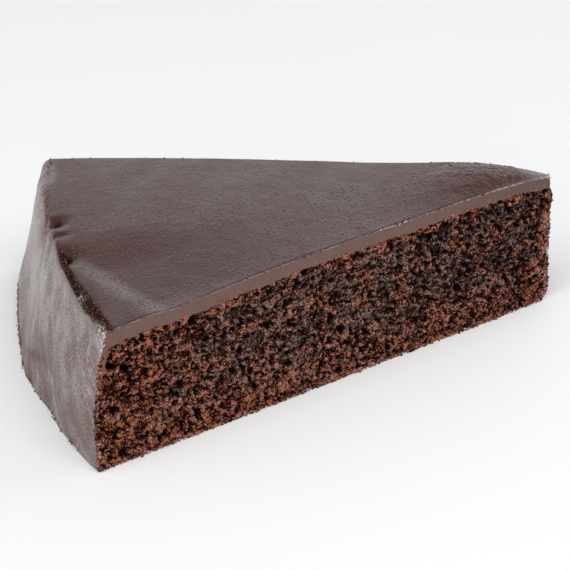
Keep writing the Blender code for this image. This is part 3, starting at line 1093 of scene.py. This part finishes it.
def spongeReliefTree():
    tree, given, out = geometryTree("crumbRelief", treeSizes(spongeSizes))
    squat = combined(tree, 1.0, 1.0, given["Flatten"])
    where = vectorMaths(tree, "MULTIPLY", shiftedPlace(tree, given["Seed"]), squat)
    stir = noise(tree, where, 0.9, 2.0, output="Color")
    stir = vectorMaths(tree, "SUBTRACT", stir, (0.5, 0.5, 0.5))
    stirred = vectorMaths(tree, "ADD", where, scaled(tree, stir, 1.5))

    def domes(size, reach):
        scale = over(tree, 1.0, size)
        distance = cells(tree, stirred, scale).outputs["Distance"]
        share = over(tree, distance, reach)
        rest = minus(tree, 1.0, times(tree, share, share), clamp=True)
        return maths(tree, "SQRT", rest)

    def hollows(size, share, smallest, widest):
        # round-edged hollows in a share of the cells, each with its own width
        scale = over(tree, 1.0, size)
        found = cells(tree, stirred, scale)
        dice = node(tree, "ShaderNodeSeparateXYZ", {0: found.outputs["Color"]}).outputs
        chosen = maths(tree, "LESS_THAN", dice[0], share)
        width = between(tree, dice[1], 0, 1, smallest, widest)
        closeness = minus(tree, width, found.outputs["Distance"])
        depth = between(tree, over(tree, closeness, width), 0.0, 0.75)
        return times(tree, depth, chosen)

    wave = minus(tree, noise(tree, where, 0.16, 3.0), 0.5)
    clumps = minus(tree, noise(tree, where, 0.42, 1.0), 0.5)
    lumps = minus(tree, domes(given["Lump Size"], 0.85), 0.6)
    beads = minus(tree, domes(given["Bead Size"], 0.85), 0.6)
    holes = hollows(given["Hole Size"], 0.62, 0.32, 0.62)
    pores = hollows(given["Pore Size"], 0.46, 0.16, 0.46)
    layers = vectorMaths(tree, "MULTIPLY", stirred, (0.22, 0.22, 0.75))
    split = maths(tree, "ABSOLUTE", minus(tree, noise(tree, layers, 1.0, 2.0), 0.5))
    tears = between(tree, split, 0.0, 0.05, 1.0, 0.0)
    height = times(tree, wave, given["Wave"])
    height = timesPlus(tree, clumps, given["Clump"], height)
    height = timesPlus(tree, lumps, given["Lump Height"], height)
    height = timesPlus(tree, beads, given["Bead Height"], height)
    cut = times(tree, holes, given["Hole Depth"])
    cut = timesPlus(tree, pores, given["Pore Depth"], cut)
    cut = timesPlus(tree, tears, given["Tear Depth"], cut)
    # moist patches are pressed flatter by the knife
    smear = noise(tree, vectorMaths(tree, "MULTIPLY", where, (1.0, 1.0, 1.5)), 0.14, 3.0, 0.6)
    smear = times(tree, between(tree, smear, 0.36, 0.62), named(tree, "moistZone"))
    pressed = between(tree, noise(tree, where, 0.30, 2.0), 0.56, 0.63)
    pressed = times(tree, pressed, smear)
    calm = timesPlus(tree, smear, -0.2, 1.0)
    calm = timesPlus(tree, pressed, -0.45, calm)
    height = times(tree, minus(tree, height, cut), calm)
    height = minus(tree, height, given["Set Back"])
    amount = times(tree, height, named(tree, "torn"))
    last = keep(tree, given["Geometry"], "relief", amount)
    broad = node(tree, "GeometryNodeBlurAttribute",
                 {"Value": named(tree, "relief"), "Iterations": 9}, data_type="FLOAT").outputs[0]
    last = keep(tree, last, "broad", broad)
    # how high each point stands, near and broad; the crumb's colour makes this painted shade in
    # the pits and painted highlights on the tops
    raised = minus(tree, named(tree, "relief"), named(tree, "broad"))
    sunk = timesPlus(tree, plus(tree, named(tree, "relief"), 0.55), 0.62, raised)
    last = keep(tree, last, "rise", between(tree, sunk, -0.54, 1.14))
    last = keep(tree, last, "moist", maths(tree, "MAXIMUM", smear, pressed))
    last = keep(tree, last, "pressed", pressed)
    # where the painted glow shows, in the dry parts
    glow = noise(tree, where, 0.9, 2.0)
    glow = times(tree, between(tree, glow, 0.44, 0.62), named(tree, "warmZone"))
    last = keep(tree, last, "glow", glow)
    moved = moveOut(tree, last, named(tree, "relief"))
    finishTree(tree, shaded(tree, moved), out, crumbLook)
    return tree


def wornFoot(r):
    # the lower corner is worn round at the tip
    radius = wedge["tipFootRound"]
    worn = np.clip(radius - (r - tipR), 0, radius)
    return radius - np.sqrt(radius**2 - worn**2)


def spongePatches():
    size = spongeSizes
    coat = sheetEdges(spongeFace, size["nearSpacing"], size["acrossSteps"])
    lines = {side: sheetPoint(line[:, 0], line[:, 1], spongeFace) for side, line in coat.items()}
    coatLoop = closedLoop(coat["near"], coat["foot"], coat["far"][::-1], coat["tip"][::-1])
    patches = [fanFill(spongeFace, coatLoop,
                       lambda fan: scatterInside(fan, size["coatSpacing"], 21))]
    tipRows = math.ceil((lines["tip"][0][2] - wornFoot(tipR)) / size["tipSpacing"])
    bottoms, tips = [], []
    for side, phi in (("near", -half), ("far", half)):
        spacing = size[side + "Spacing"]
        footR = np.hypot(*(lines[side][-1][:2] - (apexX, apexY)))
        radii = steps(tipR / math.cos(half), footR, spacing)
        bottom = place(radii, phi, wornFoot(radii * math.cos(half)))
        tip = mix(bottom[0], lines[side][0], np.linspace(0, 1, tipRows + 1)[:, None])
        loop = closedLoop(bottom, lines[side][::-1], tip[::-1])
        patches.append(cutFill(phi, loop, lambda flat: scatterInside(flat, spacing, 22)))
        bottoms.append(bottom)
        tips.append(tip)
    tipFoot = mix(tips[0][0], tips[1][0], np.linspace(0, 1, tipSteps + 1)[:, None])
    patches.append(bridgeLines(tipFoot, lines["tip"], tipRows))
    loop = closedLoop(bottoms[0], lines["foot"], bottoms[1][::-1], tipFoot[::-1])

    def toSpace(flat):
        r = np.hypot(flat[:, 0] - apexX, flat[:, 1] - apexY)
        along = apexX - flat[:, 0]
        return np.stack([flat[:, 0], flat[:, 1], wornFoot(along)], 1)

    inner = scatterInside(loop[:, :2], size["bottomSpacing"], 23)
    patches.append(fillLoop(loop[:, :2], inner, toSpace))
    return patches


def makeSponge():
    piece = weldPatches("sponge_crumb", spongePatches())
    mesh = piece.data
    points, triangles, kinds = readMesh(mesh)
    r, phi = polar(points)
    out, onCut = directionsOut(points, triangles[np.isin(kinds, (1, 2, 3))])
    store(mesh, "faceOut", out)
    store(mesh, "torn", onCut.astype(float))
    # the tip bulges under the ganache
    bulge = sum(reach * bump(points[:, 2] - height, width)
                for height, width, reach in (spongeSizes["bulge"], spongeSizes["lowerBulge"]))
    points[:, 0] += bulge * ease(1 - (r - tipR) / (6 * mm)) * onCut
    mesh.vertices.foreach_set("co", points.astype(np.float32).ravel())
    below = topHeight(r, phi) - ganacheDepth(r, phi)
    up = points[:, 2] / below
    below = (below - points[:, 2]) / mm
    share = r / wedge["rimAtCuts"]
    # moist and dark inside, dry and red at the outer end, at the foot and under the ganache
    (foot, footOver), (top, topOver) = spongeSizes["dryFoot"], spongeSizes["dryTop"]
    end, endOver = spongeSizes["dryEnd"]
    moist = ease((up - foot) / footOver) * ease((below - top) / topOver)
    moist = 0.85 * moist * ease((end - share) / endOver) + 0.15 * ease((0.95 - share) / 0.5)
    atTip = ease((5 - (r - tipR) / mm) / 4)
    moist = moist * (1 - spongeSizes["dryTip"] * atTip)
    store(mesh, "moistZone", np.clip(moist, 0, 1))
    # the painted glow may show only where the crumb is dry
    store(mesh, "warmZone", np.clip(0.9 - 0.75 * moist, 0, 1))
    amount, spot, width = spongeSizes["paler"]
    tone = amount * bump(share - spot, width) + spongeSizes["palerTip"] * atTip - 0.02
    amount, start, length = spongeSizes["darker"]
    store(mesh, "tone", tone - amount * ease((start - share) / length))
    wallShare = np.clip(points[:, 2] / topHeight(rimRadius(phi), phi), 0, 1)
    clear = ease((wallRadius(phi, wallShare) - r) / mm - 0.35)
    for kind, zone in ((1, "nearZone"), (2, "farZone")):
        onPatch = np.zeros(len(points), bool)
        onPatch[triangles[kinds == kind].ravel()] = True
        store(mesh, zone, onPatch * clear)
    runTree(piece, spongeReliefTree(), spongeSizes)
    return piece


sponge = makeSponge()
print("sponge made")

# Loose crumbs and flakes.


def crumbShapes(tree, seed, roughness, small):
    # four irregular grains to pick from, with 20 sides, or with 8 if they are small
    joined = node(tree, "GeometryNodeJoinGeometry")
    for index in range(4):
        if small:
            inputs = {"Radius": 1.0, "Segments": 4, "Rings": 2}
            ball = node(tree, "GeometryNodeMeshUVSphere", inputs).outputs[0]
        else:
            inputs = {"Radius": 1.0, "Subdivisions": 1}
            ball = node(tree, "GeometryNodeMeshIcoSphere", inputs).outputs[0]
        shift = (seed * 3.1 + index * 7.7, index * 2.3, 0)
        moved = vectorMaths(tree, "ADD", pointPlace(tree), shift)
        push = noise(tree, moved, 1.3, 1.0, output="Color")
        push = scaled(tree, vectorMaths(tree, "SUBTRACT", push, (0.5, 0.5, 0.5)), roughness)
        grain = moveBy(tree, ball, push)
        single = node(tree, "GeometryNodeGeometryToInstance", {"Geometry": grain}).outputs[0]
        tree.links.new(single, joined.inputs[0])
    return joined.outputs[0]


def randomValue(tree, kind, low, high, seed):
    first, last = {"FLOAT": ("Min_001", "Max_001"), "INT": ("Min_002", "Max_002"),
                   "FLOAT_VECTOR": ("Min", "Max")}[kind]
    made = node(tree, "FunctionNodeRandomValue", data_type=kind)
    sockets = {socket.identifier: socket for socket in made.inputs}
    plug(tree, low, sockets[first])
    plug(tree, high, sockets[last])
    plug(tree, seed, sockets["Seed"])
    return made.outputs[{"FLOAT": 1, "INT": 2, "FLOAT_VECTOR": 0}[kind]]


def onPoints(tree, points, shapes, seed, scale):
    # one of the four shapes on every point, turned any way
    fullTurn = 6.28
    turn = randomValue(tree, "FLOAT_VECTOR", (0, 0, 0), (fullTurn,) * 3, seed)
    inputs = {"Points": points, "Instance": shapes, "Pick Instance": True, "Scale": scale,
              "Instance Index": randomValue(tree, "INT", 0, 3, seed),
              "Rotation": node(tree, "FunctionNodeEulerToRotation", {0: turn}).outputs[0]}
    return realised(tree, node(tree, "GeometryNodeInstanceOnPoints", inputs).outputs[0])


def strewGrains(tree, given, points, normal, out, small=False):
    # grains of random size and turn on the points, each with its own tint
    luck = randomValue(tree, "FLOAT", 0.0, 1.0, plus(tree, given["Seed"], 5))
    size = between(tree, maths(tree, "POWER", luck, 2.2), 0.0, 1.0,
                   given["Smallest"], given["Largest"])
    size = times(tree, size, mm / 2)
    squash = randomValue(tree, "FLOAT_VECTOR", (0.75, 0.6, 0.45), (1.35, 1.1, 0.9), given["Seed"])
    points = keep(tree, points, "breadth", size)
    points = keep(tree, points, "spot", pointPlace(tree), kind="FLOAT_VECTOR")
    points = keep(tree, points, "lean", normal, kind="FLOAT_VECTOR")
    tint = randomValue(tree, "FLOAT", given["Darkest"], given["Brightest"],
                       plus(tree, given["Seed"], 9))
    # a grain low in the surface takes on its painted shade, a high one its painted highlight
    follow = times(tree, minus(tree, named(tree, "rise"), 0.5), given["Follow"])
    points = keep(tree, points, "tint", plus(tree, tint, follow))
    real = onPoints(tree, points, crumbShapes(tree, 1, 1.3, small), given["Seed"],
                    scaled(tree, squash, size))
    # each grain gets painted shade where it sits and a painted highlight on the side that stands
    # out
    away = vectorMaths(tree, "SUBTRACT", pointPlace(tree), namedVector(tree, "spot"))
    standing = dot(tree, away, namedVector(tree, "lean"))
    share = over(tree, standing, named(tree, "breadth"))
    share = timesPlus(tree, share, given["Shading"], named(tree, "tint"))
    real = keep(tree, real, "rise", share)
    # and none reaches under the floor
    aboveFloor = vectorMaths(tree, "MAXIMUM", pointPlace(tree), (-1.0, -1.0, 0.0))
    inputs = {"Geometry": real, "Position": aboveFloor}
    real = node(tree, "GeometryNodeSetPosition", inputs).outputs[0]
    finishTree(tree, shaded(tree, real, False), out, crumbLook)


grainInputs = {"Density": 1.0, "Smallest": 0.3, "Largest": 0.8, "Darkest": 0.0, "Brightest": 1.0,
               "Shading": 0.3, "Follow": 0.0, "Sunk": 0.3, "Seed": 1}


def surfaceGrainTree(name, where, small):
    # grains on a surface, as dense as the named mask says, in grains for each square millimetre
    tree, given, out = geometryTree(name, grainInputs)
    density = times(tree, given["Density"], 1 / mm**2)
    density = times(tree, density, named(tree, where))
    density = times(tree, density, between(tree, named(tree, "rise"), 0.15, 0.45))
    density = times(tree, density, timesPlus(tree, named(tree, "pressed"), -0.75, 1.0))
    inputs = {"Mesh": given["Geometry"], "Density": density, "Seed": given["Seed"]}
    points = node(tree, "GeometryNodeDistributePointsOnFaces", inputs,
                  distribute_method="RANDOM").outputs["Points"]
    points = moveOut(tree, points, times(tree, given["Sunk"], -1.0))
    strewGrains(tree, given, points, namedVector(tree, "faceOut"), out, small)
    return tree


def lineGrainTree(name):
    # grains along a line, in grains for each millimetre, strayed a little to all sides
    tree, given, out = geometryTree(name, dict(grainInputs, Stray=0.2, Lift=0.0))
    curve = node(tree, "GeometryNodeMeshToCurve", {"Mesh": given["Geometry"]}).outputs[0]
    length = over(tree, mm, given["Density"])
    points = node(tree, "GeometryNodeCurveToPoints", {"Curve": curve, "Length": length},
                  mode="LENGTH").outputs[0]
    stray = times(tree, given["Stray"], mm)
    jitter = randomValue(tree, "FLOAT_VECTOR", (-1, -1, -1), (1, 1, 1), given["Seed"])
    jitter = scaled(tree, jitter, stray)
    lift = combined(tree, z=times(tree, given["Lift"], mm))
    points = moveBy(tree, points, vectorMaths(tree, "ADD", jitter, lift))
    strewGrains(tree, given, points, (0, -0.5, 0.85), out)
    return tree


def ganacheFlakeTree():
    # crumbled ganache on the rim, and pale flakes along the cut and at the corner
    tree, given, out = geometryTree("ganacheFlakes", ganacheFlakeSizes)
    density = times(tree, given["Density"], 1 / mm**2)
    inputs = {"Mesh": given["Geometry"], "Seed": given["Seed"],
              "Density": times(tree, density, named(tree, "strewn"))}
    points = node(tree, "GeometryNodeDistributePointsOnFaces", inputs,
                  distribute_method="RANDOM").outputs["Points"]
    luck = randomValue(tree, "FLOAT", 0.0, 1.0, plus(tree, given["Seed"], 3))
    # pale flakes carry a painted highlight, dark ones painted shade
    paleness = times(tree, between(tree, luck, 0.32, 0.75), named(tree, "paleness"))
    speck = between(tree, luck, 0.88, 0.96, 0.0, 0.10)
    paleness = maths(tree, "MAXIMUM", paleness, speck)
    darkness = times(tree, minus(tree, 1.0, named(tree, "paleness")),
                     between(tree, luck, 0.45, 0.95, 1.0, 0.0))
    points = keep(tree, points, "lip", paleness)
    points = keep(tree, points, "grainAndShade", darkness)
    size = between(tree, maths(tree, "POWER", luck, 1.5), 0, 1,
                   given["Smallest"], given["Largest"])
    squash = randomValue(tree, "FLOAT_VECTOR", (0.7, 0.5, 0.3), (1.5, 1.1, 0.8), given["Seed"])
    flakes = onPoints(tree, points, crumbShapes(tree, 4, 1.2, True), given["Seed"],
                      scaled(tree, squash, times(tree, size, mm / 2)))
    finishTree(tree, shaded(tree, flakes, False), out, crumbledLook)
    return tree


def copyOf(piece, name):
    twin = bpy.data.objects.new(name, piece.data.copy())
    bpy.context.scene.collection.objects.link(twin)
    return twin


def lineObject(name, points):
    mesh = bpy.data.meshes.new(name)
    mesh.from_pydata(points.tolist(), [(i, i + 1) for i in range(len(points) - 1)], [])
    piece = bpy.data.objects.new(name, mesh)
    bpy.context.scene.collection.objects.link(piece)
    return piece


# Sizes are in millimetres. The first three have so many grains for each square millimetre
# of a cut, and the others for each millimetre of the line that they lie along.
looseGrains = {
    "near_crumbs": {"Seed": 31, "Density": 1.2, "Smallest": 0.50, "Largest": 1.15,
                    "Darkest": 0.0, "Brightest": 0.60, "Shading": 0.34, "Follow": 1.1,
                    "Sunk": 0.24},
    "near_grit": {"Seed": 37, "Density": 5.6, "Smallest": 0.26, "Largest": 0.62,
                  "Darkest": -0.05, "Brightest": 1.05, "Shading": 0.34, "Follow": 1.1,
                  "Sunk": 0.06},
    "far_crumbs": {"Seed": 33, "Density": 1.1, "Smallest": 0.60, "Largest": 1.15,
                   "Darkest": 0.0, "Brightest": 0.60, "Shading": 0.34, "Follow": 1.1,
                   "Sunk": 0.24},
    "edge_crumbs": {"Seed": 51, "Density": 2.2, "Smallest": 0.12, "Largest": 0.45,
                    "Darkest": 0.3, "Brightest": 0.9, "Stray": 0.16, "Lift": 0.06},
    "foot_crumbs": {"Seed": 41, "Density": 4.0, "Smallest": 0.40, "Largest": 1.10,
                    "Darkest": 0.3, "Brightest": 0.9, "Stray": 0.35, "Lift": 0.20},
    "side_crumbs": {"Seed": 45, "Density": 6.0, "Smallest": 0.35, "Largest": 1.20,
                    "Darkest": 0.2, "Brightest": 0.95, "Stray": 0.38},
    "wall_crumbs": {"Seed": 65, "Density": 1.5, "Smallest": 0.20, "Largest": 0.70,
                    "Darkest": 0.4, "Brightest": 0.9, "Stray": 0.30},
    "stuck_crumbs": {"Seed": 67, "Density": 7.0, "Smallest": 0.22, "Largest": 0.60,
                     "Darkest": 0.35, "Brightest": 0.85, "Stray": 0.30},
    "tip_crumbs": {"Seed": 69, "Density": 4.5, "Smallest": 0.35, "Largest": 1.10,
                   "Darkest": 0.2, "Brightest": 0.9, "Stray": 0.22},
    "stray_crumbs": {"Seed": 61, "Density": 0.22, "Smallest": 0.22, "Largest": 0.70,
                     "Darkest": 0.6, "Brightest": 0.9, "Shading": 0.2, "Stray": 0.12},
    "rim_crumbs": {"Seed": 64, "Density": 0.9, "Smallest": 0.35, "Largest": 0.90,
                   "Darkest": 0.5, "Brightest": 0.9, "Shading": 0.2, "Stray": 0.20},
}


def looseLines():
    # the lines that loose crumbs lie along, by the names of their pieces
    def topEdge(phi, count):
        reach = np.linspace(tipR, flatEnd(phi, pouredFace), count)
        return sheetPoint(reach, np.full(count, phi), pouredFace)

    footEnd = wallRadius(-half, 0.0) - 0.3 * mm
    upNear = np.linspace(0.0, 0.84, 80)       # shares of the height
    upBack = np.linspace(0.15, 0.03, 80)
    wallPhis = np.linspace(half, -0.8 * half, 200)
    backPhis = np.linspace(0.70, 0.16, 80) * half
    rimPhis = np.linspace(1.0, 0.80, 40) * half
    rim = topHeight(rimRadius(rimPhis), rimPhis)
    return {
        "edge_crumbs": topEdge(-half, 500),
        "foot_crumbs": place(np.linspace(tipR + 1.5 * mm, footEnd, 300), -half, 0.1 * mm),
        "side_crumbs": place(wallRadius(-half, upNear) - 0.3 * mm, -half,
                             upNear * topHeight(footEnd, -half)),
        "wall_crumbs": place(wallRadius(wallPhis, 0.0), wallPhis, 0.3 * mm),
        "stuck_crumbs": place(wallRadius(backPhis, upBack), backPhis,
                              upBack * topHeight(rimRadius(backPhis), backPhis)),
        "tip_crumbs": place(tipR, -0.6 * half, np.linspace(2.0, 28.0, 60) * mm),
        "stray_crumbs": topEdge(half, 300),
        "rim_crumbs": place(rimRadius(rimPhis) + 0.1 * mm, rimPhis, rim - 0.1 * mm),
    }


def makeLoosePieces():
    pieces = []
    for name, zone in (("near_crumbs", "nearZone"), ("near_grit", "nearZone"),
                       ("far_crumbs", "farZone")):
        tree = surfaceGrainTree(name, zone, name == "near_grit")
        pieces.append(runTree(copyOf(sponge, name), tree, looseGrains[name]))
    for name, line in looseLines().items():
        pieces.append(runTree(lineObject(name, line), lineGrainTree(name), looseGrains[name]))
    return pieces


ganacheFlakeSizes = {
    "Density": 11.0,           # for each square millimetre
    "Smallest": 0.22,
    "Largest": 0.66,
    "Seed": 81,
}

beadSizes = {
    "Spacing": 0.92,           # millimetres, as the rest are
    "Smallest": 0.46,
    "Largest": 0.80,
    "Flatness": 0.42,
    "Sunk": 0.02,
    "Seed": 71,
}


def beadTree():
    # the small beads that stand all over the top
    tree, given, out = geometryTree("topBeads", beadSizes)
    inputs = {"Mesh": given["Geometry"], "Distance Min": times(tree, given["Spacing"], mm),
              "Density Max": 1.2 / mm**2, "Density Factor": named(tree, "beaded"),
              "Seed": given["Seed"]}
    points = node(tree, "GeometryNodeDistributePointsOnFaces", inputs,
                  distribute_method="POISSON").outputs["Points"]
    points = moveBy(tree, points, combined(tree, z=times(tree, given["Sunk"], -mm)))
    luck = maths(tree, "POWER", randomValue(tree, "FLOAT", 0.0, 1.0, given["Seed"]), 1.6)
    width = between(tree, luck, 0, 1, given["Smallest"], given["Largest"])
    width = times(tree, width, mm / 2)
    flatness = times(tree, given["Flatness"], named(tree, "beadRise"))
    flat = combined(tree, width, width, times(tree, width, flatness))
    inputs = {"Radius": 1.0, "Segments": 6, "Rings": 4}
    ball = node(tree, "GeometryNodeMeshUVSphere", inputs).outputs[0]
    # a painted highlight that makes each bead pale
    points = keep(tree, points, "lip", 0.12)
    inputs = {"Points": points, "Instance": ball, "Scale": flat}
    beads = realised(tree, node(tree, "GeometryNodeInstanceOnPoints", inputs).outputs[0])
    finishTree(tree, shaded(tree, beads), out, pouredLook)
    return tree


topBeads = runTree(copyOf(ganache, "top_beads"), beadTree(), beadSizes)
ganacheFlakes = runTree(copyOf(ganache, "ganache_flakes"), ganacheFlakeTree(), ganacheFlakeSizes)
crumbPieces = makeLoosePieces()
for piece in [topBeads, ganacheFlakes] + crumbPieces:
    print(f"{piece.name}: {len(piece.data.polygons)} faces")

# The stage.
view = {
    "azimuth": -11.8,
    "elevation": 26.03,
    "roll": -2.153,
    "aim": (-66.424 * mm, -8.405 * mm, 16.5 * mm),    # from where the cuts meet, on the floor
    "distance": 0.42757,
    "lens": 120.0,
}


def makeCamera():
    camera = bpy.data.objects.new("camera", bpy.data.cameras.new("camera"))
    camera.data.lens = view["lens"]
    camera.data.sensor_width = 36.0
    camera.data.clip_start = 0.01
    bpy.context.scene.collection.objects.link(camera)
    azimuth, elevation = math.radians(view["azimuth"]), math.radians(view["elevation"])
    back = Vector((math.sin(azimuth) * math.cos(elevation),
                   -math.cos(azimuth) * math.cos(elevation), math.sin(elevation)))
    turn = back.to_track_quat("Z", "Y").to_matrix().to_4x4()
    roll = Matrix.Rotation(math.radians(view["roll"]), 4, "Z")
    spot = Vector((apexX, apexY, 0)) + Vector(view["aim"]) + back * view["distance"]
    camera.matrix_world = Matrix.Translation(spot) @ turn @ roll
    bpy.context.scene.camera = camera


def makeFloor():
    mesh = bpy.data.meshes.new("floor")
    reach = 6.0
    corners = [(x * reach, y * reach, 0) for x, y in ((-1, -1), (1, -1), (1, 1), (-1, 1))]
    mesh.from_pydata(corners, [], [(0, 1, 2, 3)])
    floor = bpy.data.objects.new("floor", mesh)
    bpy.context.scene.collection.objects.link(floor)
    material, tree, shader, position = newMaterial("paleFloor", 0.7, 0.2)
    soft = useGroup(tree, mottle, {"Vector": position, "Patch Size": 60.0, "Speckle Size": 0.5})
    plug(tree, blend(tree, soft["Patches"], colour(0.90, 0.905, 0.91), colour(0.91, 0.91, 0.912)),
         shader.inputs["Base Color"])
    mesh.materials.append(material)


lights = {                      # place, width, power, colour
    "rightBox": ((0.40, -1.0, 1.25), 1.1, 13.0, (1.0, 0.99, 0.98)),
    "leftBox": ((-0.75, -0.60, 1.30), 1.1, 9.6, (1.0, 0.99, 0.98)),
}
tent = {"low": 1.62, "high": 0.20, "from": 0.20, "to": 0.72,    # brightness, sine of the height
        "across": (0.979, -0.2045, 0.0), "away": (0.2045, 0.979, 0.0),
        "lean": -0.74}                                          # brighter at the back right


def makeLights():
    world = bpy.data.worlds.new("tent")
    bpy.context.scene.world = world
    world.use_nodes = True
    tree = world.node_tree
    sky = tree.nodes["Background"]
    direction = node(tree, "ShaderNodeTexCoord").outputs["Generated"]
    height = node(tree, "ShaderNodeSeparateXYZ", {0: direction}).outputs[2]
    across, away = (dot(tree, direction, tent[name]) for name in ("across", "away"))
    height = timesPlus(tree, times(tree, across, away), tent["lean"], height)
    sky.inputs["Color"].default_value = (0.96, 0.98, 1.0, 1.0)
    plug(tree, between(tree, height, tent["from"], tent["to"], tent["low"], tent["high"]),
         sky.inputs["Strength"])
    for name, (spot, width, power, tone) in lights.items():
        lamp = bpy.data.lights.new(name, "AREA")
        lamp.shape = "SQUARE"
        lamp.size = width
        lamp.energy = power
        lamp.color = tone
        box = bpy.data.objects.new(name, lamp)
        bpy.context.scene.collection.objects.link(box)
        towards = Vector(spot).to_track_quat("Z", "Y").to_matrix().to_4x4()
        box.matrix_world = Matrix.Translation(spot) @ towards


makeCamera()
makeFloor()
makeLights()
bpy.context.scene.view_settings.view_transform = "Standard"
print("stage made")

for piece, cadNode in ((ganache, "ganache"), (sponge, "sponge")):
    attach(piece, "root")
    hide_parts(cadNode)
for piece in (topBeads, ganacheFlakes):
    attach(piece, "root")
for piece in crumbPieces:
    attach(piece, "root")
